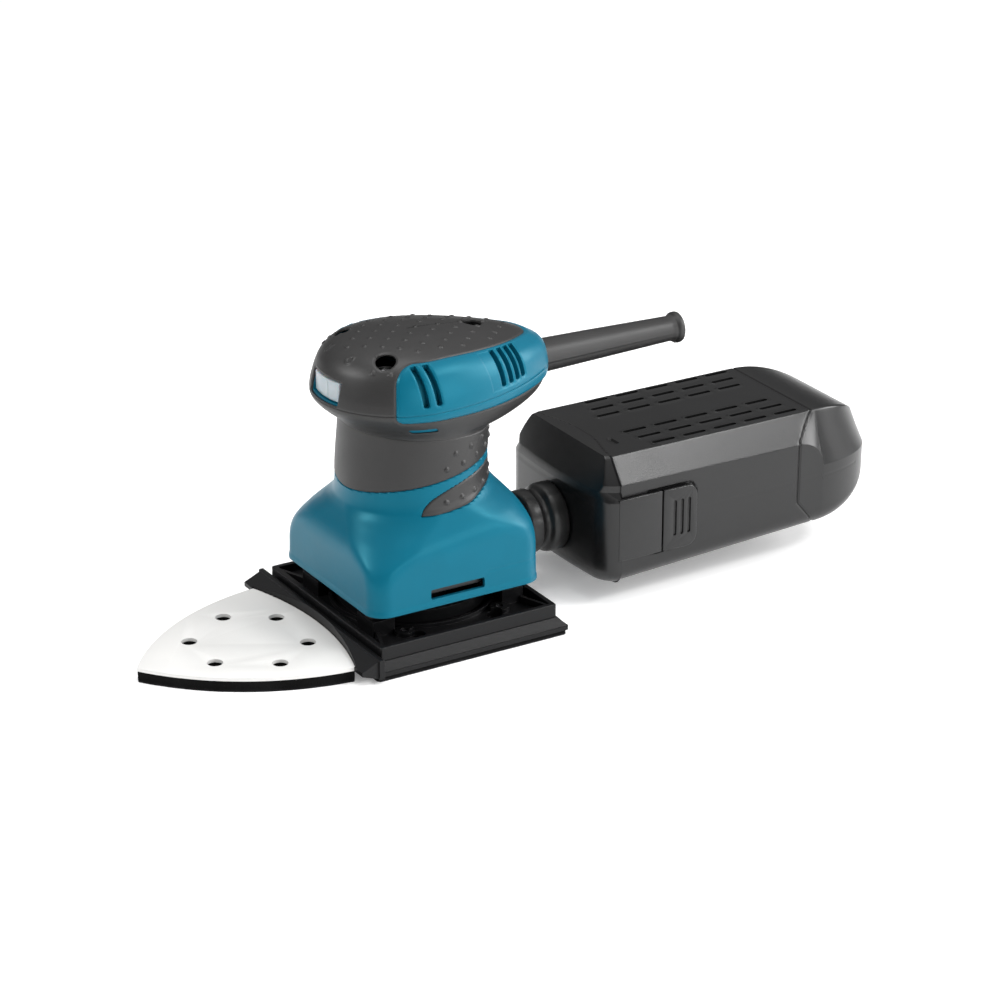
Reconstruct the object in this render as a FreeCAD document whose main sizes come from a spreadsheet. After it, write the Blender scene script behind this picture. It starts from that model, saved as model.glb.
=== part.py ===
import FreeCAD, Part
import math
import os
import Sketcher

# A palm-grip orbital sander with a delta-tipped pad and a slide-off dust box.
# Millimetres. +Z is up, the delta tip points to -Y and the dust box to +Y.
# The origin is on the pad's working face, where the motor's axis meets it.

DIMENSIONS = [
    ("plate_width", 112.0),
    ("plate_front", -49.4),
    ("plate_back", 50.1),
    ("plate_bottom", 2.4),
    ("plate_edge_top", 4.3),
    ("sheet_thick", 0.9),
    ("sheet_margin", 0.6),
    ("frame_width", 104.3),
    ("frame_length", 91.4),
    ("frame_bottom", 8.2),
    ("frame_top", 14.6),
    ("frame_wall", 2.6),
    ("frame_floor", 2.4),
    ("fence_half", 57.7),
    ("fence_top", 11.7),
    ("fence_thick", 2.6),
    ("cove_front", -57.6),
    ("tip_y", -139.9),
    ("corner_x", 49.0),
    ("corner_y", -57.0),
    ("bow_side", 115.0),
    ("bow_rear", 150.0),
    ("delta_foam_top", 5.4),
    ("delta_top", 7.0),
    ("dust_hole", 3.65),
    ("orbit", 0.75),
    ("bearing_out", 11.0),
    ("bearing_bore", 6.0),
    ("fit_gap", 0.05),
    ("boss_top", 18.8),
    ("screw_x", 36.5),
    ("screw_y", 24.8),
    ("screw_radius", 1.6),
    ("screw_head", 3.2),
    ("post_x", 26.0),
    ("post_y", 33.5),
    ("leg_radius", 5.0),
    ("leg_top", 27.8),
    ("shaft_radius", 4.0),
    ("shaft_top", 125.0),
    ("neck_radius", 34.75),
    ("grip_thick", 1.85),
    ("neck_wall", 2.4),
    ("skirt_half", 43.8),
    ("skirt_bottom", 24.0),
    ("neck_foot", 70.0),
    ("neck_top", 100.0),
    ("skirt_wall", 2.6),
    ("head_front_radius", 40.0),
    ("head_front_y", -6.0),
    ("head_rear_radius", 22.0),
    ("head_rear_y", 46.5),
    ("head_parting", 114.5),
    ("head_top", 141.0),
    ("head_wall", 2.4),
    ("skin_thick", 1.6),
    ("guard_height", 113.5),
    ("guard_root", 8.7),
    ("guard_end", 6.4),
    ("guard_flange", 7.4),
    ("guard_start", 54.0),
    ("guard_stop", 144.0),
    ("cord_bore", 3.8),
    ("cord_socket", 4.8),
    ("socket_depth", 20.0),
    ("spigot_height", 33.0),
    ("spigot_radius", 11.8),
    ("spigot_bore", 9.4),
    ("cuff_radius", 16.4),
    ("box_front", 75.5),
    ("box_seam", 91.4),
    ("box_rear", 199.0),
    ("box_end", 240.0),
    ("box_top", 71.5),
    ("box_top_half", 32.5),
    ("box_half", 41.5),
    ("box_shoulder", 61.5),
    ("box_bottom_front", 9.8),
    ("box_bottom_rear", 15.0),
    ("box_wall", 2.2),
    ("arm_out", 43.8),
    ("arm_end", 108.3),
    ("latch_end", 127.5),
    ("arm_low", 23.0),
    ("arm_high", 53.5),
]

doc = FreeCAD.newDocument("OrbitalSander")
sheet = doc.addObject("Spreadsheet::Sheet", "Dims")


class Size:
    """A length together with the sheet expression that gives it."""

    def __init__(self, value, text):
        self.value = float(value)
        self.text = text

    def join(self, other, sign, value):
        return Size(value, "(%s %s %s)" % (self.text, sign, as_size(other).text))

    def __add__(self, other):
        return self.join(other, "+", self.value + as_size(other).value)

    def __sub__(self, other):
        return self.join(other, "-", self.value - as_size(other).value)

    def __mul__(self, other):
        return self.join(other, "*", self.value * as_size(other).value)

    def __truediv__(self, other):
        return self.join(other, "/", self.value / as_size(other).value)

    def root(self):
        return Size(math.sqrt(self.value), "sqrt(%s)" % self.text)


def as_size(number):
    if isinstance(number, Size):
        return number
    return Size(number, "(%r)" % float(number))


class Dimensions:
    """The sheet's cells, by name."""


dim = Dimensions()
for row, (alias, number) in enumerate(DIMENSIONS, start=1):
    sheet.set("A%d" % row, alias)
    sheet.set("B%d" % row, repr(number))
    sheet.setAlias("B%d" % row, alias)
    setattr(dim, alias, Size(number, "Dims." + alias))
doc.recompute()

nodes = []
TURNS = {
    "Z": FreeCAD.Rotation(),
    "Y": FreeCAD.Rotation(FreeCAD.Vector(1, 0, 0), -90),
    "X": FreeCAD.Rotation(FreeCAD.Vector(0, 1, 0), 90),
}
EPS = 1e-6


# ---------------------------------------------------------------- helpers

def node(part):
    """Count a finished piece as one of the sander's sub-parts."""
    nodes.append(part)
    return part


def bind(part, name, length):
    part.setExpression(name, as_size(length).text)


def place(part, at, axis="Z"):
    """Stand a piece on a point, with its own Z along the given axis."""
    part.Placement = FreeCAD.Placement(FreeCAD.Vector(), TURNS[axis])
    for letter, length in zip("xyz", at):
        bind(part, "Placement.Base." + letter, length)
    return part


def cylinder(name, radius, length, at, axis="Z"):
    part = doc.addObject("Part::Cylinder", name)
    bind(part, "Radius", radius)
    bind(part, "Height", length)
    return place(part, at, axis)


def block(name, low, high):
    """A box between two corners."""
    part = doc.addObject("Part::Box", name)
    for side, start, end in zip(("Length", "Width", "Height"), low, high):
        bind(part, side, as_size(end) - start)
    return place(part, low)


def fuse(name, parts):
    part = doc.addObject("Part::MultiFuse", name)
    part.Shapes = parts
    return part


def common(name, parts):
    part = doc.addObject("Part::MultiCommon", name)
    part.Shapes = parts
    return part


def cut(name, base, tools):
    part = doc.addObject("Part::Cut", name)
    part.Base = base
    part.Tool = tools[0] if len(tools) == 1 else fuse(name + "_tools", tools)
    return part


def ring(name, outer, inner, length, at, axis="Z"):
    disc = cylinder(name + "_disc", outer, length, at, axis)
    bore = cylinder(name + "_bore", inner, length, at, axis)
    return cut(name, disc, [bore])


def group(name, parts):
    """Separate identical pieces kept in one node."""
    part = doc.addObject("Part::Compound", name)
    part.Links = parts
    return part


def solid(name, shape):
    """A piece from a ready shape, without the specks that a cut can leave."""
    solids = [lump for lump in shape.Solids if lump.Volume > 1.0]
    part = doc.addObject("Part::Feature", name)
    part.Shape = solids[0] if len(solids) == 1 else Part.makeCompound(solids)
    part.Placement = FreeCAD.Placement()
    return part


def body(name):
    part = doc.addObject("PartDesign::Body", name)
    part.Label = name
    return part


def sketch_on(part, role, name, height=0.0):
    """A sketch on one of the body's own origin planes, raised by a height."""
    sketch = part.newObject("Sketcher::SketchObject", name)
    plane = [p for p in part.Origin.OriginFeatures if p.Role == role][0]
    sketch.AttachmentSupport = (plane, [""])
    sketch.MapMode = "FlatFace"
    bind(sketch, "AttachmentOffset.Base.z", height)
    return sketch


def constrain(sketch, kind, geometry, point, length):
    """Hold one point of the sketch at a sheet length from the origin."""
    index = sketch.addConstraint(
        Sketcher.Constraint(kind, -1, 1, geometry, point, as_size(length).value))
    bind(sketch, "Constraints[%d]" % index, length)


def polygon(sketch, points):
    """A closed outline through points given as pairs of lengths."""
    spots = [FreeCAD.Vector(as_size(x).value, as_size(y).value) for x, y in points]
    first = sketch.GeometryCount
    for here, there in zip(spots, spots[1:] + spots[:1]):
        sketch.addGeometry(Part.LineSegment(here, there), False)
    for step, (x, y) in enumerate(points):
        following = first + (step + 1) % len(points)
        sketch.addConstraint(
            Sketcher.Constraint("Coincident", first + step, 2, following, 1))
        constrain(sketch, "DistanceX", first + step, 1, x)
        constrain(sketch, "DistanceY", first + step, 1, y)


def rectangle(sketch, half_x, low_y, high_y):
    polygon(sketch, [
        (as_size(half_x) * -1, low_y),
        (half_x, low_y),
        (half_x, high_y),
        (as_size(half_x) * -1, high_y),
    ])


def circle(sketch, radius, x=0.0, y=0.0):
    centre = FreeCAD.Vector(as_size(x).value, as_size(y).value)
    index = sketch.addGeometry(
        Part.Circle(centre, FreeCAD.Vector(0, 0, 1), as_size(radius).value), False)
    constrain(sketch, "DistanceX", index, 3, x)
    constrain(sketch, "DistanceY", index, 3, y)
    held = sketch.addConstraint(
        Sketcher.Constraint("Radius", index, as_size(radius).value))
    bind(sketch, "Constraints[%d]" % held, radius)


def pad(part, sketch, length):
    feature = part.newObject("PartDesign::Pad", sketch.Name + "_pad")
    feature.Profile = sketch
    bind(feature, "Length", length)
    doc.recompute()
    return feature


def pocket(part, sketch, length):
    """Cut upwards from the sketch, and insist that something was cut."""
    before = part.Shape.Volume
    feature = part.newObject("PartDesign::Pocket", sketch.Name + "_pocket")
    feature.Profile = sketch
    feature.Reversed = True
    bind(feature, "Length", length)
    doc.recompute()
    if part.Shape.Volume > before - EPS:
        raise RuntimeError(sketch.Name + " cuts nothing")
    return feature


def turned(name, profile, at=(0.0, 0.0, 0.0), axis="Z"):
    """A piece of lathe work: an outline of (radius, height) turned once."""
    part = body(name)
    sketch = sketch_on(part, "XZ_Plane", name + "_profile")
    polygon(sketch, profile)
    feature = part.newObject("PartDesign::Revolution", name + "_turn")
    feature.Profile = sketch
    feature.ReferenceAxis = (sketch, ["V_Axis"])
    feature.Angle = 360.0
    doc.recompute()
    return place(part, at, axis)


def soften(part, name, radius, wanted):
    """Round the edges of a body that the test picks."""
    tip = part.Tip
    edges = [
        "Edge%d" % (i + 1)
        for i, edge in enumerate(tip.Shape.Edges)
        if wanted(edge)
    ]
    feature = part.newObject("PartDesign::Fillet", name)
    feature.Base = (tip, edges)
    bind(feature, "Radius", radius)
    doc.recompute()
    return feature


def is_upright(edge):
    box = edge.BoundBox
    return box.XLength < EPS and box.YLength < EPS and box.ZLength > 1.0


def is_level(edge, height, least):
    """A long edge that lies at one height."""
    box = edge.BoundBox
    level = abs(box.ZMin - height.value) < 1e-3 and abs(box.ZMax - height.value) < 1e-3
    return level and edge.Length > least


def signs():
    return [(x, y) for x in (-1, 1) for y in (-1, 1)]


# ---------------------------------------------------------------- the pad

def delta_block(name, low, high, inset):
    """The bowed triangle: the space that three large discs share."""
    side = dim.bow_side - inset
    rear = dim.bow_rear - inset
    half_chord_x = dim.corner_x / 2
    half_chord_y = (dim.corner_y - dim.tip_y) / 2
    chord = (half_chord_x * half_chord_x + half_chord_y * half_chord_y).root()
    reach = (dim.bow_side * dim.bow_side - chord * chord).root()
    middle_y = (dim.corner_y + dim.tip_y) / 2
    centre_x = reach * half_chord_y / chord - half_chord_x
    centre_y = middle_y + reach * half_chord_x / chord
    rear_y = dim.corner_y - (dim.bow_rear * dim.bow_rear - dim.corner_x * dim.corner_x).root()
    length = as_size(high) - low
    discs = [
        cylinder(name + "_left", side, length, (centre_x, centre_y, low)),
        cylinder(name + "_right", side, length, (centre_x * -1, centre_y, low)),
        cylinder(name + "_rear", rear, length, (0.0, rear_y, low)),
    ]
    return common(name + "_blank", discs)


def delta_holes(name, radius):
    """Six dust holes, in three mirrored pairs."""
    spots = [(15.2, -62.5), (27.9, -83.2), (12.8, -107.9)]
    return [
        cylinder("%s_hole%d%s" % (name, i, tag), radius, dim.delta_top + 2, (side * x, y, -1.0))
        for i, (x, y) in enumerate(spots)
        for tag, side in (("l", -1), ("r", 1))
    ]


def delta_layer(name, low, high, inset):
    blank = delta_block(name, low, high, inset)
    return node(cut(name, blank, delta_holes(name, dim.dust_hole)))


def square_holes():
    """Dust holes of the square part, beside the motor's boss."""
    return [(sx * 40.0, sy * 20.0) for sx, sy in signs()]


def sheet_layer(name, low, high):
    part = body(name)
    outline = sketch_on(part, "XY_Plane", name + "_outline", low)
    rectangle(outline, dim.plate_width / 2 - dim.sheet_margin,
              dim.plate_front + dim.sheet_margin, dim.plate_back - dim.sheet_margin)
    pad(part, outline, as_size(high) - low)
    holes = sketch_on(part, "XY_Plane", name + "_holes", as_size(low) - 1)
    for x, y in square_holes():
        circle(holes, dim.dust_hole, x, y)
    pocket(part, holes, 8.0)
    return node(part)


def backing_plate():
    """The plate: an edge band, a slope up to the frame, and the front fence."""
    part = body("backing_plate")
    half = dim.plate_width / 2
    edge = sketch_on(part, "XY_Plane", "plate_edge", dim.plate_bottom)
    rectangle(edge, half, dim.plate_front, dim.plate_back)
    pad(part, edge, dim.plate_edge_top - dim.plate_bottom)
    soften(part, "plate_corners", 1.2, is_upright)
    foot = sketch_on(part, "XY_Plane", "slope_foot", dim.plate_edge_top)
    rectangle(foot, half - 0.6, dim.plate_front + 0.6, dim.plate_back - 0.6)
    top = sketch_on(part, "XY_Plane", "slope_top", dim.frame_bottom)
    rectangle(top, dim.frame_width / 2 + 0.4, dim.frame_length / -2 - 0.4,
              dim.frame_length / 2 + 0.4)
    slope = part.newObject("PartDesign::AdditiveLoft", "plate_slope")
    slope.Profile = foot
    slope.Sections = [top]
    slope.Ruled = True
    doc.recompute()
    fence = sketch_on(part, "XY_Plane", "fence", dim.plate_bottom)
    rectangle(fence, dim.fence_half, dim.plate_front, dim.plate_front + dim.fence_thick)
    pad(part, fence, dim.fence_top - dim.plate_bottom)
    soften(part, "fence_round", 0.6, lambda edge: is_level(edge, dim.fence_top, 50.0))
    cove = sketch_on(part, "YZ_Plane", "cove")
    polygon(cove, [
        (dim.plate_front + 0.4, dim.fence_top - 0.5),
        (dim.cove_front, dim.delta_top + 0.4),
        (dim.cove_front, dim.delta_top - 1.6),
        (dim.plate_front + 0.4, dim.plate_bottom),
    ])
    wedge = pad(part, cove, dim.fence_half * 2 - 2)
    wedge.Midplane = True
    doc.recompute()
    holes = sketch_on(part, "XY_Plane", "plate_holes", 0.0)
    for x, y in square_holes():
        circle(holes, dim.dust_hole, x, y)
    pocket(part, holes, dim.frame_bottom + 1)
    shanks = sketch_on(part, "XY_Plane", "plate_shanks", 0.0)
    heads = sketch_on(part, "XY_Plane", "plate_heads", 0.0)
    for sx, sy in signs():
        circle(shanks, dim.screw_radius + 0.05, dim.screw_x * sx, dim.screw_y * sy)
        circle(heads, dim.screw_head + 0.05, dim.screw_x * sx, dim.screw_y * sy)
    pocket(part, shanks, dim.frame_bottom + 1)
    pocket(part, heads, dim.plate_bottom + 1.9)
    recess = sketch_on(part, "XY_Plane", "bolt_recess", 0.0)
    circle(recess, 12.0, 0.0, dim.orbit)
    pocket(part, recess, dim.frame_bottom + 1)
    room = delta_block("delta_room", -1.0, 20.0, -0.25)
    part.Label = "backing_plate_blank"
    plate = cut("backing_plate", part, [room])
    plate.Label = "backing_plate"
    return node(plate)


def pad_frame():
    """The tray above the plate, with its rim, ribs, posts and bearing boss."""
    part = body("pad_frame")
    half_x = dim.frame_width / 2
    half_y = dim.frame_length / 2
    wall = dim.frame_wall
    floor_top = dim.frame_bottom + dim.frame_floor
    outer = sketch_on(part, "XY_Plane", "tray", dim.frame_bottom)
    rectangle(outer, half_x, half_y * -1, half_y)
    pad(part, outer, dim.frame_top - dim.frame_bottom)
    soften(part, "tray_corners", 1.0, is_upright)
    inner = sketch_on(part, "XY_Plane", "tray_inside", floor_top)
    rectangle(inner, half_x - wall, wall - half_y, half_y - wall)
    pocket(part, inner, 10.0)
    soften(part, "rim_round", 0.5, lambda edge: is_level(edge, dim.frame_top, 30.0))

    def standing(name, top):
        sketch = sketch_on(part, "XY_Plane", name, floor_top - 0.2)
        return sketch, as_size(top) - floor_top + 0.2

    rim, height = standing("dust_ring", 17.2)
    circle(rim, 34.0)
    circle(rim, 31.6)
    pad(part, rim, height)
    low_rim, height = standing("low_ring", 12.4)
    circle(low_rim, 38.5)
    circle(low_rim, 37.1)
    pad(part, low_rim, height)
    boss, height = standing("bearing_boss", dim.boss_top)
    circle(boss, dim.bearing_out + 3.5, 0.0, dim.orbit)
    pad(part, boss, height)
    posts, height = standing("leg_posts", 18.0)
    for sx, sy in signs():
        x = dim.post_x * sx
        y = dim.post_y * sy
        polygon(posts, [(x - 7.5, y - 5.5), (x + 7.5, y - 5.5), (x + 7.5, y + 5.5), (x - 7.5, y + 5.5)])
    pad(part, posts, height)
    bosses, height = standing("screw_bosses", 12.6)
    for sx, sy in signs():
        circle(bosses, 4.6, dim.screw_x * sx, dim.screw_y * sy)
    pad(part, bosses, height)
    ribs, height = standing("corner_ribs", 13.6)
    for sx, sy in signs():
        polygon(ribs, [(33.6 * sx, 38.0 * sy), (34.9 * sx, 36.8 * sy),
                       (50.4 * sx, 42.6 * sy), (49.6 * sx, 43.8 * sy)])
    pad(part, ribs, height)

    through = sketch_on(part, "XY_Plane", "frame_holes", 7.0)
    for x, y in square_holes():
        circle(through, dim.dust_hole, x, y)
    for sx, sy in signs():
        circle(through, dim.screw_radius + 0.05, dim.screw_x * sx, dim.screw_y * sy)
    circle(through, 8.8, 0.0, dim.orbit)
    pocket(part, through, 14.0)
    seat = sketch_on(part, "XY_Plane", "bearing_seat", floor_top)
    circle(seat, dim.bearing_out, 0.0, dim.orbit)
    pocket(part, seat, 12.0)
    return node(part)


def pad_parts():
    foam_bottom = dim.sheet_thick
    sheet_layer("hook_sheet", 0.0, foam_bottom)
    sheet_layer("main_foam", foam_bottom, dim.plate_bottom)
    backing_plate()
    pad_frame()
    delta_layer("delta_hook_sheet", 0.0, dim.sheet_thick, 0.5)
    delta_layer("delta_foam", dim.sheet_thick, dim.delta_foam_top, 0.2)
    delta_layer("delta_plate", dim.delta_foam_top, dim.delta_top, 0.0)
    seat = dim.frame_bottom + dim.frame_floor
    node(ring("pad_bearing", dim.bearing_out, dim.bearing_bore, dim.boss_top - seat,
              (0.0, dim.orbit, seat)))
    node(ring("bearing_retainer", 14.5, 8.0, 1.5, (0.0, dim.orbit, dim.boss_top)))
    screws = []
    for index, (sx, sy) in enumerate(signs()):
        foot = (dim.screw_x * sx, dim.screw_y * sy, dim.plate_bottom)
        head = cylinder("pad_screw_head%d" % index, dim.screw_head, 1.8, foot)
        shank = cylinder("pad_screw_shank%d" % index, dim.screw_radius, 9.4, foot)
        screws.append(fuse("pad_screw%d" % index, [head, shank]))
    node(group("pad_screws", screws))
    names = {(-1, -1): "front_left", (1, -1): "front_right", (-1, 1): "rear_left", (1, 1): "rear_right"}
    for (sx, sy), where in names.items():
        radius = dim.leg_radius
        height = dim.leg_top - 18.0
        node(turned("leg_" + where, [
            (0.0, 0.0),
            (radius, 0.0),
            (radius, 1.6),
            (radius - 1.4, height / 2),
            (radius, height - 1.6),
            (radius, height),
            (0.0, height),
        ], (dim.post_x * sx, dim.post_y * sy, 18.0)))


# -------------------------------------------------------------- the rotor

def fan():
    """A hub and disc with eleven straight blades in a polar pattern."""
    part = body("cooling_fan")
    disc = sketch_on(part, "XY_Plane", "fan_disc", 39.0)
    circle(disc, 29.0)
    circle(disc, dim.shaft_radius + 0.02)
    pad(part, disc, 1.6)
    hub = sketch_on(part, "XY_Plane", "fan_hub", 39.0)
    circle(hub, 8.0)
    circle(hub, dim.shaft_radius + 0.02)
    pad(part, hub, 9.0)
    blade = sketch_on(part, "XY_Plane", "fan_blade", 40.0)
    polygon(blade, [(14.0, -0.8), (28.5, -0.8), (28.5, 0.8), (14.0, 0.8)])
    first = pad(part, blade, 8.5)
    axis = [p for p in part.Origin.OriginFeatures if p.Role == "Z_Axis"][0]
    spread = part.newObject("PartDesign::PolarPattern", "fan_blades")
    spread.Originals = [first]
    spread.Axis = (axis, [""])
    spread.Angle = 360.0
    spread.Occurrences = 11
    part.Tip = spread
    doc.recompute()
    return node(part)


def rotor_parts():
    shaft = dim.shaft_radius
    neck = shaft - 1
    node(turned("motor_shaft", [
        (0.0, 21.6), (shaft, 21.6), (shaft, 112.0), (neck, 112.0),
        (neck, dim.shaft_top), (0.0, dim.shaft_top),
    ]))
    journal = cylinder("journal", dim.bearing_bore - dim.fit_gap, 11.6, (0.0, dim.orbit, 9.6))
    flange = cylinder("hub_flange", 12.0, 3.0, (0.0, 0.0, 21.2))
    rim = cylinder("weight_round", 21.0, 5.5, (0.0, 0.0, 21.2))
    half = block("weight_half", (-22.0, -22.0, 21.2), (22.0, -4.0, 26.7))
    weight = common("weight", [rim, half])
    hub = fuse("hub_blank", [journal, flange, weight])
    bolt_way = cylinder("bolt_way", 2.5, 11.0, (0.0, dim.orbit, 9.6))
    shaft_way = cylinder("shaft_way", shaft, 8.0, (0.0, 0.0, 21.6))
    node(cut("eccentric_hub", hub, [bolt_way, shaft_way]))
    node(ring("pad_washer", 8.0, 2.6, 1.2, (0.0, dim.orbit, 8.4)))
    head = cylinder("bolt_head", 4.4, 3.4, (0.0, dim.orbit, 5.0))
    shank = cylinder("bolt_shank", 2.5, 12.0, (0.0, dim.orbit, 8.4))
    node(fuse("pad_bolt", [head, shank]))
    fan()
    node(ring("armature_core", 16.2, shaft, 30.0, (0.0, 0.0, 59.0)))
    lower = ring("winding_low", 13.5, shaft, 5.0, (0.0, 0.0, 54.0))
    upper = ring("winding_high", 13.5, shaft, 5.0, (0.0, 0.0, 89.0))
    node(group("armature_windings", [lower, upper]))
    node(ring("commutator", 9.0, shaft, 12.0, (0.0, 0.0, 97.0)))


# ------------------------------------------------------------ the housing

def rounded_square(z, half, corner):
    """A square outline with round corners, as four sides and four arcs."""
    flat = half - corner
    swing = corner * math.sqrt(0.5)
    edges = []
    for quarter in range(4):
        turn = FreeCAD.Rotation(FreeCAD.Vector(0, 0, 1), 90.0 * quarter)
        spots = [
            FreeCAD.Vector(half, -flat, z),
            FreeCAD.Vector(half, flat, z),
            FreeCAD.Vector(flat + swing, flat + swing, z),
            FreeCAD.Vector(flat, half, z),
        ]
        low, high, middle, last = [turn.multVec(spot) for spot in spots]
        edges.append(Part.LineSegment(low, high).toShape())
        edges.append(Part.Arc(high, middle, last).toShape())
    return Part.Wire(edges)


def skirt_solid(grow):
    """The skirt: square at its foot, rising over the shoulders to the round neck."""
    half = dim.skirt_half.value
    neck = dim.neck_radius.value
    foot = dim.skirt_bottom.value
    neck_foot = dim.neck_foot.value
    levels = [
        (foot, half, 10.0),
        (foot + 12, half, 11.0),
        (foot + 23, half - 0.6, 15.0),
        (foot + 33, half - 4.0, 19.0),
        (foot + 39, half - 6.8, 26.0),
        (neck_foot, neck + 0.3, neck - 1.2),
    ]
    wires = [rounded_square(z, size + grow, corner + grow) for z, size, corner in levels]
    return Part.makeLoft(wires, True, True)


def upright(radius, low, high):
    return Part.makeCylinder(radius, high - low, FreeCAD.Vector(0, 0, low))


def box_shape(low, high):
    sides = [b - a for a, b in zip(low, high)]
    return Part.makeBox(sides[0], sides[1], sides[2], FreeCAD.Vector(*low))


def side_prism(points, half_width):
    """A solid from a side view outline of (y, z) points, across the whole width."""
    corners = [FreeCAD.Vector(-half_width, y, z) for y, z in points]
    wire = Part.makePolygon(corners + corners[:1])
    return Part.Face(wire).extrude(FreeCAD.Vector(2 * half_width, 0, 0))


def grip_region():
    """Where the neck grip lies: above a line that climbs towards the back."""
    return side_prism([(-50, 70.2), (50, 90.2), (50, 130), (-50, 130)], 60)


def rear_grip_region():
    """The leaf-shaped rear grip, which wraps the back of the neck."""
    points = [(-14, 64.5), (-8, 71), (3, 75.5), (15, 78.2), (40, 81.5), (40, 71), (21, 69.2), (8, 66.2)]
    return side_prism(points, 60)


def neck_shapes():
    """The neck grip, the rear grip and the housing under them."""
    outer = dim.neck_radius.value
    core = outer - dim.grip_thick.value
    top = dim.neck_top.value
    foot = dim.neck_foot.value
    sleeve = upright(outer, foot, top).cut(upright(core, foot, top))
    grip = sleeve.common(grip_region())
    skin = skirt_solid(0.0).fuse(upright(outer, foot, top))
    hollow = skirt_solid(-dim.skirt_wall.value).fuse(upright(core - dim.neck_wall.value, foot - 4, top))
    under = skirt_solid(-1.2).fuse(upright(outer - 1.2, foot, top))
    rear = skin.cut(under).common(rear_grip_region())
    return skin.cut(grip).cut(rear), hollow, grip, rear


def housing():
    shell, hollow, grip, rear = neck_shapes()
    below = box_shape((-60, -60, 0), (60, 60, dim.skirt_bottom.value + 0.01))
    shell = shell.cut(hollow).cut(below)
    spigot_way = Part.makeCylinder(
        dim.spigot_radius.value, 30, FreeCAD.Vector(0, 30, dim.spigot_height.value),
        FreeCAD.Vector(0, 1, 0))
    slots = box_shape((-60, -15.0, 27.6), (60, 12.8, 32.4))
    node(solid("motor_housing", shell.cut(spigot_way).cut(slots)))
    node(solid("neck_grip", grip))
    node(solid("rear_grip", rear))


def egg(z, front_radius, front_y, rear_radius, rear_y):
    """An egg outline: a half circle in front, a small arc behind, large arcs between."""
    span = rear_y - front_y
    side = (front_radius ** 2 + span ** 2 - rear_radius ** 2) / (2 * (front_radius - rear_radius))
    centre_x = front_radius - side
    lean = math.atan2(span, -centre_x)
    points = {}
    for mirror in (1, -1):
        points["wide", mirror] = FreeCAD.Vector(mirror * front_radius, front_y, z)
        points["side", mirror] = FreeCAD.Vector(
            mirror * (centre_x + side * math.cos(lean / 2)), front_y + side * math.sin(lean / 2), z)
        points["join", mirror] = FreeCAD.Vector(
            mirror * rear_radius * math.cos(lean), rear_y + rear_radius * math.sin(lean), z)
    nose = FreeCAD.Vector(0, front_y - front_radius, z)
    tail = FreeCAD.Vector(0, rear_y + rear_radius, z)
    arcs = [
        (points["wide", -1], nose, points["wide", 1]),
        (points["wide", 1], points["side", 1], points["join", 1]),
        (points["join", 1], tail, points["join", -1]),
        (points["join", -1], points["side", -1], points["wide", -1]),
    ]
    return Part.Wire([Part.Arc(*arc).toShape() for arc in arcs])


def head_egg(z, inset):
    return egg(z, dim.head_front_radius.value - inset, dim.head_front_y.value,
               dim.head_rear_radius.value - inset, dim.head_rear_y.value)


def lower_head(inset):
    """The underside of the head, from the neck out to the parting line."""
    levels = [
        (dim.neck_top.value, 35.4, -1.4, 22.4, 30.0),
        (103.0, 37.0, -3.2, 22.2, 38.0),
        (109.0, 39.2, -5.2, 22.1, 44.5),
    ]
    wires = [egg(z, r1 - inset, y1, r2 - inset, y2) for z, r1, y1, r2, y2 in levels]
    wires.append(head_egg(dim.head_parting.value, inset))
    return Part.makeLoft(wires, True, True)


def upper_head(inset, drop):
    """The domed upper head, as egg outlines that shrink towards the crown."""
    parting = dim.head_parting.value
    front_y = dim.head_front_y.value
    wires = [head_egg(parting, inset)]
    levels = [(8.0, 38.4, 20.4, 46.5), (15.5, 35.3, 17.0, 45.0),
              (21.0, 30.4, 12.8, 39.0), (24.0, 24.4, 8.0, 30.0)]
    for rise, front, rear, rear_y in levels:
        wires.append(egg(parting + rise - drop, front - inset, front_y, rear - inset, rear_y))
    crown = egg(dim.head_top.value - drop, 12.0, -3.0, 4.0, 10.0)
    return Part.makeLoft(wires + [crown], True, True)


def panel_band():
    """The side panels: beside the shoulder, from the front cheeks to the tail."""
    shoulder = Part.Face(head_egg(100, 9.5)).extrude(FreeCAD.Vector(0, 0, 60))
    reach = side_prism([(-22.5, 90), (-22.5, 128), (-16, 137), (0, 150), (90, 150), (90, 90)], 60)
    return reach.cut(shoulder)


def vent_slots():
    """Two slots in front and four behind, on each side panel."""
    slots = []
    for y in (-14.6, -8.6, 25.6, 30.4, 34.8, 38.8):
        for side in (-1, 1):
            slot = box_shape((-12, y - 1.4, 117.5), (12, y + 1.4, 131.0))
            slot.translate(FreeCAD.Vector(side * 40, 0, 0))
            slots.append(slot)
    return slots


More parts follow.
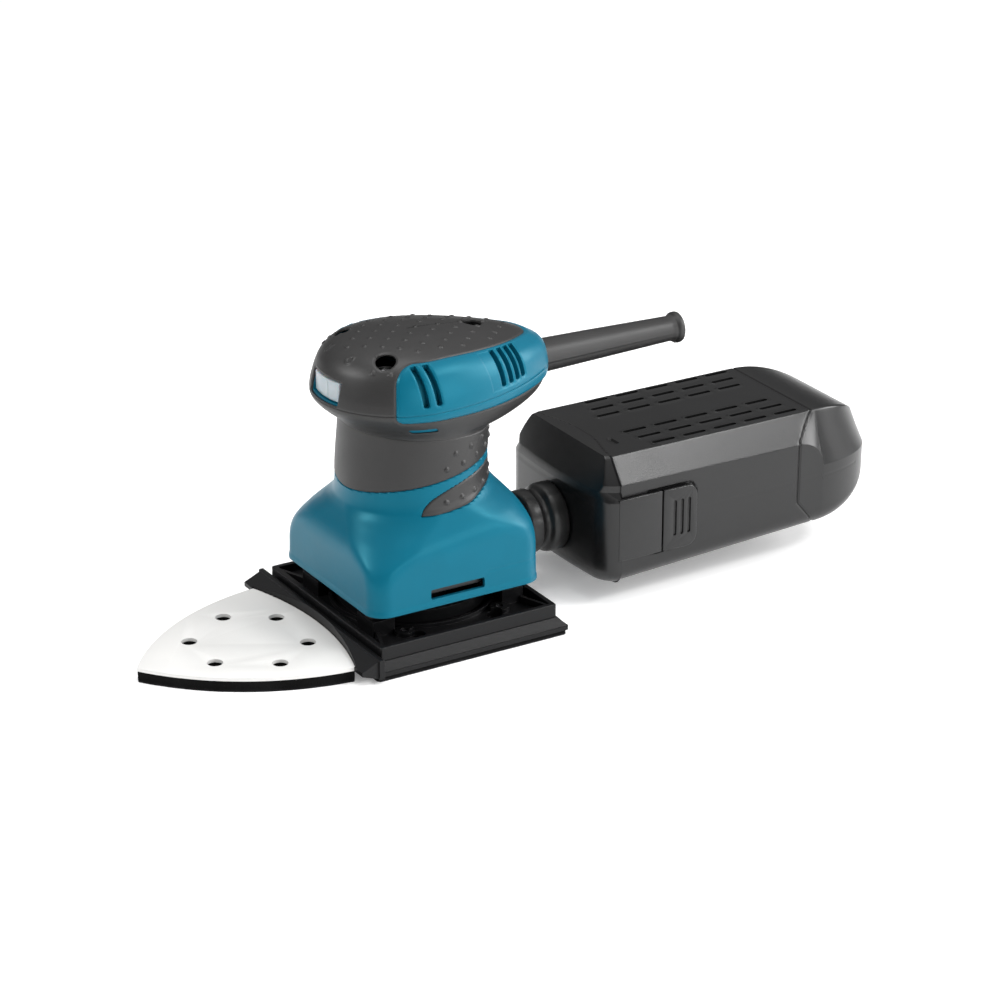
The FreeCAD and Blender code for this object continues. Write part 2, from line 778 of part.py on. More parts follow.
def head():
    wall = dim.head_wall.value
    skin = dim.skin_thick.value
    parting = dim.head_parting.value
    window = box_shape((-12.4, -60, parting + 0.9), (12.4, -30, parting + 11.6))
    cord_way = Part.makeCylinder(dim.guard_root.value, 40, FreeCAD.Vector(0, 50, dim.guard_height.value),
                                 FreeCAD.Vector(0, 1, 0))
    lower = lower_head(0.0)
    lower_skin = lower.cut(lower_head(1.2))
    strip = 109.6
    low_band = side_prism(
        [(-60, 90), (-60, parting), (-22, parting), (-22, strip), (90, strip), (90, 90)], 60)
    base_grip = lower_skin.common(low_band).cut(cord_way)
    base = lower.cut(base_grip).cut(lower_head(wall + 0.8)).cut(cord_way)
    foot = dim.neck_top.value
    base_floor = Part.Face(egg(foot, 35.4 - 2, -1.4, 22.4 - 2, 30.0)).extrude(FreeCAD.Vector(0, 0, 1.6))
    neck_inside = (dim.neck_radius - dim.grip_thick - dim.neck_wall).value
    base = base.fuse(base_floor.cut(upright(neck_inside, foot - 1, foot + 3)))
    base = base.fuse(screw_tubes(4.2, foot, parting - 0.4)).cut(screw_tubes(1.65, 90, 150)).cut(base_grip)
    upper = upper_head(0.0, 0.0)
    top_grip = upper.cut(upper_head(skin, skin)).cut(panel_band()).cut(window)
    cover = upper.cut(top_grip).cut(upper_head(wall + skin, wall + skin)).cut(window).cut(cord_way)
    for slot in vent_slots():
        cover = cover.cut(slot)
    seats = screw_tubes(5.0, parting, 150.0).common(upper_head(skin + 0.2, skin + 0.2))
    counterbores = screw_tubes(3.6, 128.1, 150)
    cover = cover.fuse(seats).cut(screw_tubes(1.65, 90, 150)).cut(counterbores)
    top_grip = top_grip.cut(screw_tubes(3.6, 100, 150))
    node(solid("head_base", base))
    node(solid("base_grip", base_grip))
    node(solid("top_cover", cover))
    node(solid("top_grip", top_grip))


def cover_screw_spots():
    return [(-21.3, -24.2), (21.3, -24.2), (0.0, 32.0)]


def screw_tubes(radius, low, high):
    """Three upright cylinders, one at each cover screw."""
    tubes = []
    for x, y in cover_screw_spots():
        tube = upright(radius, low, high)
        tube.translate(FreeCAD.Vector(x, y, 0))
        tubes.append(tube)
    return tubes[0].fuse(tubes[1:])


def cover_screws():
    screws = []
    for index, (x, y) in enumerate(cover_screw_spots()):
        top = 130.5
        head_part = cylinder("cover_screw_head%d" % index, 3.4, 2.4, (x, y, top - 2.4))
        shank = cylinder("cover_screw_shank%d" % index, 1.6, 22.0, (x, y, top - 24.4))
        screws.append(fuse("cover_screw%d" % index, [head_part, shank]))
    return node(group("cover_screws", screws))


def cord_parts():
    start = dim.guard_start
    root = dim.guard_root - 0.1
    node(turned("cord_guard", [
        (dim.cord_socket, 0.0),
        (root + 1.3, 0.0),
        (root + 1.3, 2.5),
        (root, 2.5),
        (dim.guard_end, dim.guard_stop - start - 5.0),
        (dim.guard_end, dim.guard_stop - start - 3.6),
        (dim.guard_flange, dim.guard_stop - start - 3.0),
        (dim.guard_flange, dim.guard_stop - start),
        (dim.cord_bore, dim.guard_stop - start),
        (dim.cord_bore, dim.socket_depth),
        (dim.cord_socket, dim.socket_depth),
    ], (0.0, start, dim.guard_height), "Y"))
    bar = block("clamp_bar", (-9.0, 44.0, 117.6), (9.0, 50.0, 120.6))
    node(cut("cord_clamp", bar, [cylinder("clamp_way%d" % (side + 1), 1.5, 9.0, (side * 6.5, 47.0, 114.0))
                                 for side in (-1, 1)]))
    screws = []
    for side in (-1, 1):
        head_part = cylinder("clamp_head%d" % (side + 1), 2.6, 1.8, (side * 6.5, 47.0, 120.6))
        shank = cylinder("clamp_shank%d" % (side + 1), 1.4, 10.0, (side * 6.5, 47.0, 110.6))
        screws.append(fuse("clamp_screw%d" % (side + 1), [head_part, shank]))
    node(group("clamp_screws", screws))


def motor_parts():
    bore = dim.shaft_radius + dim.fit_gap
    plate = rounded_square(29.0, dim.skirt_half.value - dim.skirt_wall.value - 0.8, 8.0)
    disc = Part.Face(plate).extrude(FreeCAD.Vector(0, 0, 2.4))
    seat = upright(12.0, 29.0, 37.5)
    disc = disc.fuse(seat).cut(upright(9.0, 30.5, 40.0)).cut(upright(6.0, 20.0, 40.0))
    node(solid("bearing_plate", disc))
    node(ring("lower_bearing", 9.0, bore, 6.5, (0.0, 0.0, 30.5)))
    node(ring("baffle_plate", 37.5, 18.0, 2.0, (0.0, 0.0, 51.0)))
    inner = dim.neck_radius - dim.grip_thick - dim.neck_wall
    node(ring("stator_core", inner - 0.05, 17.0, 30.0, (0.0, 0.0, 59.0)))
    coils = [ring("coil_low", 27.0, 19.0, 4.5, (0.0, 0.0, 54.5)),
             ring("coil_high", 27.0, 19.0, 4.5, (0.0, 0.0, 89.0))]
    node(group("field_coils", coils))
    node(ring("brush_plate", 29.5, 13.0, 2.0, (0.0, 0.0, 96.6)))
    for side, where in ((-1, "left"), (1, "right")):
        node(brush_holder(side, "brush_holder_" + where))
        node(block("carbon_brush_" + where, brush_low(side, 9.3, 18.0), brush_high(side, 9.3, 18.0)))
        foot = 18.0 if side > 0 else -25.0
        node(cylinder("brush_spring_" + where, 2.0, 7.0, (foot, 0.0, 103.0), "X"))
    node(ring("upper_bearing", 8.0, neck_bore(), 6.0, (0.0, 0.0, 115.0)))
    seat = ring("upper_seat", 10.5, 8.0, 6.0, (0.0, 0.0, 115.0))
    bridge = block("upper_bridge", (-29.8, -4.0, 111.5), (29.8, 4.0, 115.0))
    legs = []
    for side in (-1, 1):
        low = (side * 28.3 - 1.5, -4.0, 98.6)
        high = (side * 28.3 + 1.5, 4.0, 111.5)
        legs.append(block("bridge_leg%d" % (side + 1), low, high))
    way = cylinder("upper_way", 5.0, 12.0, (0.0, 0.0, 108.0))
    node(cut("upper_bearing_holder", fuse("holder_blank", [seat, bridge] + legs), [way]))


def neck_bore():
    return dim.shaft_radius - 1 + dim.fit_gap


def brush_low(side, near, far):
    return (near if side > 0 else -far, -2.6, 100.4)


def brush_high(side, near, far):
    return (far if side > 0 else -near, 2.6, 105.6)


def brush_holder(side, name):
    """A square brass tube that guides one brush."""
    near, far = (10.4, 25.0) if side > 0 else (-25.0, -10.4)
    tube = block(name + "_tube", (near, -3.8, 99.2), (far, 3.8, 106.8))
    hole = block(name + "_hole", (near, -2.6, 100.4), (far, 2.6, 105.6))
    return cut(name, tube, [hole])


def switch_parts():
    """The switch behind the window, and the rocker that turns on an upright pin."""
    node(block("switch_body", (-9.0, -27.0, 114.0), (9.0, -14.0, 127.0)))
    parting = dim.head_parting.value
    low = parting + 1.5
    high = parting + 11.0
    points = [(-10.8, -39.8), (0.0, -42.2), (10.8, -38.2), (10.8, -36.0), (2.6, -35.0),
              (2.6, -31.6), (-2.6, -31.6), (-2.6, -35.0), (-10.8, -37.6)]
    part = body("power_rocker")
    outline = sketch_on(part, "XY_Plane", "rocker_outline", low)
    polygon(outline, points)
    pad(part, outline, high - low)
    eye = sketch_on(part, "XY_Plane", "rocker_eye", low - 1)
    circle(eye, 1.05, 0.0, -33.4)
    pocket(part, eye, 14.0)
    node(part)
    node(cylinder("rocker_pin", 1.0, 12.6, (0.0, -33.4, parting - 0.4)))
    frame = block("pivot_block", (-4.0, -34.6, parting - 1.0), (4.0, -27.0, parting + 0.9))
    cap = block("pivot_cap", (-4.0, -34.6, parting + 11.2), (4.0, -27.0, parting + 12.2))
    ways = cylinder("pivot_way", 1.0, 20.0, (0.0, -33.4, parting - 2.0))
    node(cut("rocker_bracket", fuse("bracket_blank", [frame, cap, block(
        "pivot_back", (-4.0, -28.4, parting - 1.0), (4.0, -27.0, parting + 12.2))]), [ways]))


# ----------------------------------------------------------- the dust box

def box_section(y, scale=1.0, inset=0.0, top=None, narrow=0.0):
    """An eight-sided cross-section of the dust box, shrunk about its centre."""
    front = dim.box_seam.value
    share = (y - front) / (dim.box_rear.value - front)
    bottom = dim.box_bottom_front.value
    bottom = bottom + (dim.box_bottom_rear.value - bottom) * min(max(share, 0.0), 1.0)
    roof = dim.box_top.value if top is None else top
    shoulder = min(dim.box_shoulder.value, roof - 3)
    half = dim.box_half.value - narrow
    centre = 43.0
    right = [
        (dim.box_top_half.value - narrow * 0.6 - inset * 0.7, roof - inset),
        (half - inset, shoulder - inset * 0.4),
        (half - 0.6 - inset, bottom + 9),
        (half - 8 - inset * 0.6, bottom + inset),
    ]
    outline = right + [(-x, z) for x, z in reversed(right)]
    spots = [FreeCAD.Vector(x * scale, y, centre + (z - centre) * scale) for x, z in outline]
    return Part.makePolygon(spots + spots[:1])


def box_rear_shell():
    seam = dim.box_seam.value + 0.3
    back = dim.box_rear.value - 0.2
    wall = dim.box_wall.value
    outer = Part.makeLoft([box_section(seam), box_section(back)], True, True)
    inner = Part.makeLoft([box_section(seam - 1, inset=wall), box_section(back + 1, inset=wall)], True, True)
    shell = outer.cut(inner)
    for x in (-29.0, -20.0, -11.0, 11.0, 20.0, 29.0):
        for step in range(5):
            y = 110.0 + 17.0 * step
            slot = box_shape((x - 1.1, y, 60.0), (x + 1.1, y + 12.5, 80.0))
            shell = shell.cut(slot)
    behind_latch = box_shape((-50, dim.arm_end.value + 0.2, dim.arm_low.value - 0.6),
                             (50, dim.latch_end.value - 1.6, dim.arm_high.value + 0.6))
    return node(solid("box_rear", shell.cut(behind_latch)))


def end_cap():
    seam = dim.box_rear.value
    steps = [(seam, 1.0), (210.0, 0.975), (220.0, 0.9), (229.0, 0.76), (235.5, 0.57),
             (239.0, 0.36), (dim.box_end.value, 0.2)]
    outer = Part.makeLoft([box_section(y, scale) for y, scale in steps], True, True)
    inner = Part.makeLoft([box_section(y - 2.4 * (y > seam) - 0.5 * (y == seam), scale - 0.055)
                           for y, scale in steps], True, True)
    return node(solid("end_cap", outer.cut(inner)))


def box_front_cover():
    start = dim.box_front.value
    seam = dim.box_seam.value
    wall = dim.box_wall.value
    outer = Part.makeLoft([
        box_section(start, top=58.8, narrow=7.0),
        box_section(start + 7.0, top=64.4, narrow=0.8),
        box_section(seam),
    ], True, True)
    inner = Part.makeLoft([
        box_section(start + wall, top=58.8, narrow=7.0, inset=wall),
        box_section(start + 7.0 + wall * 0.5, top=64.4, narrow=0.8, inset=wall),
        box_section(seam + 0.1, inset=wall),
    ], True, True)
    shell = outer.cut(inner)
    for side in (-1, 1):
        inside = dim.box_half.value + 0.3
        outside = dim.arm_out.value
        low_x, high_x = (inside, outside) if side > 0 else (-outside, -inside)
        bottom = dim.arm_low.value
        arm = box_shape((low_x, start + 6, bottom), (high_x, dim.arm_end.value, dim.arm_high.value))
        root_low, root_high = (inside - 3, outside) if side > 0 else (-outside, 3 - inside)
        root = box_shape((root_low, start + 6, bottom), (root_high, seam - 1, dim.arm_high.value))
        shell = shell.fuse(arm).fuse(root.cut(inner))
    nozzle_way = Part.makeCylinder(12.6, 30, FreeCAD.Vector(0, start - 10, dim.spigot_height.value),
                                   FreeCAD.Vector(0, 1, 0))
    return node(solid("box_front", shell.cut(nozzle_way)))


def dust_box():
    height = dim.spigot_height
    bore = dim.spigot_radius + 0.03
    far = dim.cuff_radius
    node(turned("exhaust_spigot", [
        (dim.spigot_bore, 0.0), (dim.spigot_radius - 0.05, 0.0), (dim.spigot_radius - 0.05, 26.0),
        (dim.spigot_bore, 26.0),
    ], (0.0, 41.5, height), "Y"))
    node(turned("nozzle_cuff", [
        (bore, 0.0), (14.4, 0.0), (15.3, 1.2), (15.3, 7.0), (14.2, 8.2), (14.2, 10.0), (far, 11.2),
        (far, 19.6), (12.5, 19.6), (12.5, 25.0), (11.0, 25.0), (11.0, 14.0), (bore, 14.0),
    ], (0.0, 55.8, height), "Y"))
    box_front_cover()
    box_rear_shell()
    end_cap()
    frame = block("filter_frame_blank", (-30.0, 100.0, 64.2), (30.0, 196.0, 66.4))
    window = block("filter_window", (-27.0, 103.0, 60.0), (27.0, 193.0, 70.0))
    node(cut("filter_frame", frame, [window]))
    node(block("filter_sheet", (-27.0, 103.0, 64.6), (27.0, 193.0, 66.0)))
    for side, where in ((-1, "left"), (1, "right")):
        inside = dim.box_half + 0.35
        low_x = inside if side > 0 else dim.arm_out * -1
        high_x = dim.arm_out if side > 0 else inside * -1
        tile = block("latch_tile_" + where, (low_x, dim.arm_end + 0.6, dim.arm_low),
                     (high_x, dim.latch_end, dim.arm_high))
        ribs = []
        for step in range(3):
            y = dim.arm_end + 5.0 + 4.0 * step
            inner_x = dim.arm_out - 0.2 if side > 0 else dim.arm_out * -1 - 0.5
            outer_x = dim.arm_out + 0.5 if side > 0 else dim.arm_out * -1 + 0.2
            ribs.append(block("latch_rib_%s%d" % (where, step), (inner_x, y, 31.0), (outer_x, y + 1.6, 48.0)))
        node(fuse("latch_" + where, [tile] + ribs))


# ---------------------------------------------------------------- writing

def check_and_write():
    doc.recompute()
    for thing in doc.Objects:
        if "Invalid" in thing.State or "Error" in thing.State:
            raise RuntimeError("%s did not compute" % thing.Name)
    os.makedirs("parts", exist_ok=True)
    for part in nodes:
        shape = part.Shape
        if shape.isNull() or not shape.isValid() or not shape.Solids:
            raise RuntimeError("%s is not a sound solid" % part.Label)
        shape.exportStep("parts/%s.step" % part.Label)
        box = shape.BoundBox
        print("%-24s solids %d volume %9.1f  x %7.1f %7.1f  y %7.1f %7.1f  z %6.1f %6.1f" % (
            part.Label, len(shape.Solids), shape.Volume,
            box.XMin, box.XMax, box.YMin, box.YMax, box.ZMin, box.ZMax))


pad_parts()
rotor_parts()
housing()
head()
cover_screws()
cord_parts()
motor_parts()
switch_parts()
dust_box()
check_and_write()
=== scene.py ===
"""The looks of an orbital sander with a detail tip and a dust box, built around its CAD frame."""

import math

import bmesh
import bpy
import numpy as np
from mathutils import Matrix, Vector


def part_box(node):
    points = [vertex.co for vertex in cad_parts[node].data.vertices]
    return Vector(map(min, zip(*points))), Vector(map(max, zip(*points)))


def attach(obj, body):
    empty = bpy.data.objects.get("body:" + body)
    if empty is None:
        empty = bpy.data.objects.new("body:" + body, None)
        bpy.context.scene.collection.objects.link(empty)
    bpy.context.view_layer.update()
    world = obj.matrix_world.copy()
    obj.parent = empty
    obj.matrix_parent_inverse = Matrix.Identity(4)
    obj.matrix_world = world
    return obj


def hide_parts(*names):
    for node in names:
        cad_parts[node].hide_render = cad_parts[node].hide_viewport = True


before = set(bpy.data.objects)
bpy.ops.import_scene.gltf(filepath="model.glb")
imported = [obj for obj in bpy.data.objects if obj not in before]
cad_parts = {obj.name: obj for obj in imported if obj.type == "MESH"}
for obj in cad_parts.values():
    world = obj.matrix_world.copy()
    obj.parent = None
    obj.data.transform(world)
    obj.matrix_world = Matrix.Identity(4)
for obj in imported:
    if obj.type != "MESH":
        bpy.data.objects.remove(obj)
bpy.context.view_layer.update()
MM = 0.001


def span(node):
    """A node's lowest and highest corners, in millimetres."""
    low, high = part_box(node)
    return np.array(low) / MM, np.array(high) / MM


# Materials.

def set_inputs(node, **values):
    """Sets a shader node's inputs. An underscore stands for a space in an input's name."""
    for socket, value in values.items():
        node.inputs[socket.replace("_", " ")].default_value = value
    return node


def add_node(tree, kind, **values):
    """A new shader node with its inputs set."""
    return set_inputs(tree.nodes.new("ShaderNode" + kind), **values)


def texture(tree, scale, detail=3.0):
    """Noise in the object's own coordinates. Its scale is in cells to the metre."""
    place = add_node(tree, "TexCoord")
    noise = add_node(tree, "TexNoise", Scale=scale, Detail=detail)
    tree.links.new(place.outputs["Object"], noise.inputs["Vector"])
    return noise.outputs["Fac"]


def ramp(tree, source, low, high):
    """Spreads the middle of the noise's range over low to high."""
    spread = add_node(tree, "MapRange", From_Min=0.3, From_Max=0.7, To_Min=low, To_Max=high)
    tree.links.new(source, spread.inputs["Value"])
    return spread.outputs["Result"]


def tint(colour, factor):
    """A colour made lighter or darker, with its alpha."""
    return tuple(min(channel * factor, 1.0) for channel in colour) + (1.0,)


def finish_of(name, colour, roughness, grain=1800.0, depth=0.00002, mottle=0.05,
              rough_spread=0.015, edge=0.0, **sockets):
    """A procedural finish: mottled colour, uneven gloss, fine moulded grain, softened edges."""
    made = bpy.data.materials.new(name)
    made.use_nodes = True
    tree = made.node_tree
    shader = tree.nodes["Principled BSDF"]
    mix = add_node(tree, "Mix")
    mix.data_type = "RGBA"
    mix.inputs["A"].default_value = tint(colour, 1.0 - mottle)
    mix.inputs["B"].default_value = tint(colour, 1.0 + mottle)
    tree.links.new(ramp(tree, texture(tree, 55.0), 0.0, 1.0), mix.inputs["Factor"])
    tree.links.new(mix.outputs["Result"], shader.inputs["Base Color"])
    gloss = ramp(tree, texture(tree, 160.0), roughness - rough_spread, roughness + rough_spread)
    tree.links.new(gloss, shader.inputs["Roughness"])
    bump = add_node(tree, "Bump", Strength=1.0, Distance=depth)
    tree.links.new(texture(tree, grain, 2.0), bump.inputs["Height"])
    if edge:
        rounding = add_node(tree, "Bevel", Radius=edge * MM)
        rounding.samples = 6
        tree.links.new(rounding.outputs["Normal"], bump.inputs["Normal"])
    tree.links.new(bump.outputs["Normal"], shader.inputs["Normal"])
    set_inputs(shader, **sockets)
    return made


def brushed(name, colour, roughness, stretch):
    """Turned metal: its noise is drawn out along Z, so it shows as fine lathe rings."""
    made = finish_of(name, colour, roughness, 900.0, 0.00001, 0.08, 0.08, 0.25, Metallic=1.0)
    tree = made.node_tree
    place = add_node(tree, "TexCoord")
    scaling = add_node(tree, "Mapping", Scale=(200.0, 200.0, stretch))
    noise = add_node(tree, "TexNoise", Scale=1.0)
    tree.links.new(place.outputs["Object"], scaling.inputs["Vector"])
    tree.links.new(scaling.outputs["Vector"], noise.inputs["Vector"])
    bump = next(node for node in tree.nodes if node.type == "BUMP")
    tree.links.new(noise.outputs["Fac"], bump.inputs["Height"])
    return made


def banded(name, colour, second, roughness, pitch, metallic):
    """Stacked sheets or wound wire: thin bands across Z."""
    made = finish_of(name, colour, roughness, 900.0, 0.00002, 0.06, 0.05, 0.0, Metallic=metallic)
    tree = made.node_tree
    place = add_node(tree, "TexCoord")
    waves = add_node(tree, "TexWave", Scale=1.0 / (pitch * MM) / 20.0, Distortion=0.4)
    waves.bands_direction = "Z"
    tree.links.new(place.outputs["Object"], waves.inputs["Vector"])
    mix = next(node for node in tree.nodes if node.type == "MIX")
    mix.inputs["A"].default_value = tint(colour, 1.0)
    mix.inputs["B"].default_value = tint(second, 1.0)
    tree.links.new(waves.outputs["Fac"], mix.inputs["Factor"])
    bump = next(node for node in tree.nodes if node.type == "BUMP")
    bump.inputs["Distance"].default_value = 0.0001
    tree.links.new(waves.outputs["Fac"], bump.inputs["Height"])
    return made


TEAL = (0.002, 0.098, 0.158)
MATERIALS = {made.name.split(".")[0]: made for made in (
    finish_of("teal_plastic", TEAL, 0.38, 1400.0, 0.000025, 0.04,
              Specular_IOR_Level=0.4, Specular_Tint=(0.2, 0.85, 1.0, 1.0)),
    finish_of("grip_elastomer", (0.017, 0.0165, 0.0165), 0.45, 2200.0, 0.00004,
              0.1, Specular_IOR_Level=0.45),
    finish_of("black_plastic", (0.006, 0.006, 0.0063), 0.3, 1500.0, 0.00003, 0.1, Specular_IOR_Level=0.42),
    finish_of("pad_plastic", (0.005, 0.005, 0.0055), 0.34, 1200.0, 0.00005, 0.12,
              edge=0.35, Specular_IOR_Level=0.2),
    finish_of("pad_foam", (0.006, 0.006, 0.006), 0.85, 1100.0, 0.0004, 0.3, Specular_IOR_Level=0.04),
    finish_of("hook_felt", (0.01, 0.01, 0.011), 0.95, 2600.0, 0.0003, 0.4, Specular_IOR_Level=0.2),
    finish_of("white_plastic", (0.7, 0.695, 0.68), 0.4, 700.0, 0.00002, 0.015),
    finish_of("smoke_plastic", (0.33, 0.38, 0.41), 0.3, 500.0, 0.00003, 0.04,
              Subsurface_Weight=0.3, Subsurface_Scale=0.004),
    finish_of("warm_grey_plastic", (0.2, 0.17, 0.16), 0.35, 900.0, 0.00003, 0.06),
    # filter_cloth: its near-black colour is painted shade seen through the box's top vents; the real cloth
    # is pale.
    finish_of("filter_cloth", (0.03, 0.03, 0.031), 0.95, 900.0, 0.0003, 0.25, Sheen_Weight=0.2),
    brushed("steel", (0.55, 0.55, 0.56), 0.32, 6000.0),
    brushed("bearing_steel", (0.66, 0.66, 0.67), 0.18, 9000.0),
    banded("lamination", (0.26, 0.26, 0.27), (0.1, 0.1, 0.11), 0.45, 1.0, 0.8),
    banded("copper", (0.72, 0.3, 0.12), (0.4, 0.13, 0.04), 0.35, 0.8, 0.9),
    brushed("brass", (0.72, 0.52, 0.22), 0.3, 4000.0),
    finish_of("carbon", (0.03, 0.03, 0.032), 0.55, 1600.0, 0.00006, 0.2),
    finish_of("rubber", (0.007, 0.007, 0.007), 0.36, 1500.0, 0.00003, 0.12, Specular_IOR_Level=0.4),
)}


# Mesh building.

def smooth_curve(knots, values, at):
    """A smooth curve through the knots that never swings past them (Fritsch-Carlson)."""
    knots, values, at = (np.asarray(part, float) for part in (knots, values, at))
    steps = np.diff(knots)
    slopes = np.diff(values) / steps
    tangents = np.concatenate([slopes[:1], np.zeros(len(knots) - 2), slopes[-1:]])
    for inner in range(1, len(knots) - 1):
        before, after = slopes[inner - 1], slopes[inner]
        if before * after > 0:
            w1 = 2 * steps[inner] + steps[inner - 1]
            w2 = steps[inner] + 2 * steps[inner - 1]
            tangents[inner] = (w1 + w2) / (w1 / before + w2 / after)
    place = np.clip(np.searchsorted(knots, at) - 1, 0, len(steps) - 1)
    width = steps[place]
    t = np.clip((at - knots[place]) / width, 0, 1)
    h00, h10 = (1 + 2 * t) * (1 - t) ** 2, t * (1 - t) ** 2
    h01, h11 = t * t * (3 - 2 * t), t * t * (t - 1)
    return (h00 * values[place] + h10 * width * tangents[place]
            + h01 * values[place + 1] + h11 * width * tangents[place + 1])


def soft_min(a, b, reach):
    """The lesser of two surfaces, blended where they are within reach of each other."""
    near = np.maximum(reach - np.abs(a - b), 0.0) / reach
    return np.minimum(a, b) - near * near * reach * 0.25


def soft_line(value, low, high):
    """Zero at low, one at high and straight between."""
    return np.clip((value - low) / (high - low), 0.0, 1.0)


def soft_step(value, low, high):
    """Zero at low, one at high and smooth between."""
    t = soft_line(value, low, high)
    return t * t * (3 - 2 * t)


def inside_box(a, b, centre, half, radius):
    """Distance inside a rounded rectangle: positive in it, negative outside."""
    over_a = np.abs(a - centre[0]) - (half[0] - radius)
    over_b = np.abs(b - centre[1]) - (half[1] - radius)
    outside = np.hypot(np.maximum(over_a, 0), np.maximum(over_b, 0))
    return radius - outside - np.minimum(np.maximum(over_a, over_b), 0)


def normals_of(grid):
    """Outward unit normals of a grid whose columns run round and whose rows run along."""
    along = np.gradient(grid, axis=0)
    around = np.roll(grid, -1, axis=1) - np.roll(grid, 1, axis=1)
    normal = np.cross(around, along)
    length = np.linalg.norm(normal, axis=2, keepdims=True)
    return np.where(length > 1e-7, normal / np.maximum(length, 1e-7), (0.0, 0.0, 1.0))


def add_object(name, data):
    """An object in the scene from its mesh, lamp or camera."""
    thing = bpy.data.objects.new(name, data)
    bpy.context.scene.collection.objects.link(thing)
    return thing


def new_piece(name, points, faces, finish, sharp=32.0):
    """A mesh piece from points in millimetres."""
    mesh = bpy.data.meshes.new(name)
    mesh.from_pydata((np.asarray(points, float) * MM).tolist(), [], faces)
    mesh.materials.append(MATERIALS[finish])
    piece = add_object(name, mesh)
    piece["sharp"] = sharp
    return piece


def settle(piece):
    """Applies the piece's modifiers, then shades it smooth with crisp edges."""
    bpy.context.view_layer.update()
    ready = piece.evaluated_get(bpy.context.evaluated_depsgraph_get())
    mesh = bpy.data.meshes.new_from_object(ready)
    piece.modifiers.clear()
    piece.data = mesh
    mesh.shade_smooth()
    mesh.set_sharp_from_angle(angle=math.radians(piece["sharp"]))
    return piece


def face_out(piece, weld=False):
    """Turns the faces outwards. Welding joins doubled points and drops faces with no area."""
    work = bmesh.new()
    work.from_mesh(piece.data)
    if weld:
        bmesh.ops.remove_doubles(work, verts=work.verts, dist=1e-6)
        bmesh.ops.dissolve_degenerate(work, edges=work.edges, dist=1e-7)
    bmesh.ops.recalc_face_normals(work, faces=work.faces)
    work.to_mesh(piece.data)
    work.free()
    return piece


def patch(name, base, height, field, thickness, finish, sharp=32.0):
    """The part of a grid where field is positive, raised by height, with an inner face and walls."""
    rows, columns = field.shape
    number = np.arange(rows * columns).reshape(rows, columns)
    beside = np.roll(number, -1, axis=1)
    quads = np.stack([number[:-1], beside[:-1], beside[1:], number[1:]], -1).reshape(-1, 4)
    normal = normals_of(base)
    outer = (base + normal * height[..., None]).reshape(-1, 3)
    inner = (base - normal * thickness).reshape(-1, 3)
    value = field.ravel()
    inside = value > 0
    count = inside[quads].sum(1)
    faces = quads[count == 4].tolist()
    ends, shares, made = [], [], {}
    for quad in quads[(count > 0) & (count < 4)]:
        outline = []
        for a, b in zip(quad, np.roll(quad, -1)):
            if inside[a]:
                outline.append(int(a))
            if inside[a] != inside[b]:
                key = (min(a, b), max(a, b))
                if key not in made:
                    share = value[key[0]] / (value[key[0]] - value[key[1]])
                    made[key] = rows * columns + len(ends)
                    ends.append(key)
                    shares.append(min(max(share, 0.03), 0.97))
                outline.append(made[key])
        faces.append(outline)
    if ends:
        ends, shares = np.array(ends), np.array(shares)[:, None]
        first, second = ends.T
        outer, inner = (np.concatenate([skin, skin[first] * (1 - shares) + skin[second] * shares])
                        for skin in (outer, inner))
    used = np.unique(np.concatenate(faces))
    order = np.zeros(len(outer), int)
    order[used] = np.arange(len(used))
    faces = [order[face].tolist() for face in faces]
    sides = dict.fromkeys(side for face in faces for side in zip(face, face[1:] + face[:1]))
    depth = len(used)
    walls = [[b, a, a + depth, b + depth] for a, b in sides if (b, a) not in sides]
    lining = [[corner + depth for corner in reversed(face)] for face in faces]
    points = np.concatenate([outer[used], inner[used]])
    return settle(face_out(new_piece(name, points, faces + lining + walls, finish, sharp), weld=True))


def loft(name, rings, finish, sharp=32.0, closed=False):
    """A solid skin over rings of points. Its ends are capped, or joined if closed."""
    rings = np.asarray(rings, float)
    rows, columns = rings.shape[:2]
    number = np.arange(rows * columns).reshape(rows, columns)
    faces = []
    for row in range(rows if closed else rows - 1):
        low, high = number[row], number[(row + 1) % rows]
        faces += np.stack([low, np.roll(low, -1), np.roll(high, -1), high], -1).tolist()
    if not closed:
        faces.append(number[0][::-1].tolist())
        faces.append(number[-1].tolist())
    return face_out(new_piece(name, rings.reshape(-1, 3), faces, finish, sharp))


def turned(name, profile, centre, axis, finish, columns=96, sharp=32.0):
    """A solid of revolution from a closed (radius, distance) profile."""
    angle = np.linspace(0, 2 * math.pi, columns, endpoint=False)
    rings = []
    for radius, distance in profile:
        a, b = radius * np.cos(angle), radius * np.sin(angle)
        c = np.full(columns, float(distance))
        ring = np.stack([a, c, b] if axis == "Y" else [a, b, c], -1)
        rings.append(ring + np.asarray(centre, float))
    return loft(name, rings, finish, sharp, closed=True)


def rounded(profile, radius=0.4, steps=4):
    """A closed profile with each of its corners rounded."""
    profile = np.asarray(profile, float)
    path = []
    for index, corner in enumerate(profile):
        before = profile[index - 1] - corner
        after = profile[(index + 1) % len(profile)] - corner
        reach = min(radius, np.linalg.norm(before) * 0.45, np.linalg.norm(after) * 0.45)
        start = corner + before / np.linalg.norm(before) * reach
        stop = corner + after / np.linalg.norm(after) * reach
        for step in np.linspace(0, 1, steps):
            path.append((1 - step) ** 2 * start + 2 * step * (1 - step) * corner + step ** 2 * stop)
    return path


def prism(name, outline, low, high, axis, finish, sharp=32.0):
    """A solid from a flat outline, raised along an axis between low and high."""
    spots = np.asarray(outline, float)
    rings = []
    for level in (low, high):
        layer = np.full(len(spots), float(level))
        order = {"Z": [spots[:, 0], spots[:, 1], layer], "X": [layer, spots[:, 0], spots[:, 1]],
                 "Y": [spots[:, 0], layer, spots[:, 1]]}[axis]
        rings.append(np.stack(order, -1))
    return loft(name, rings, finish, sharp)


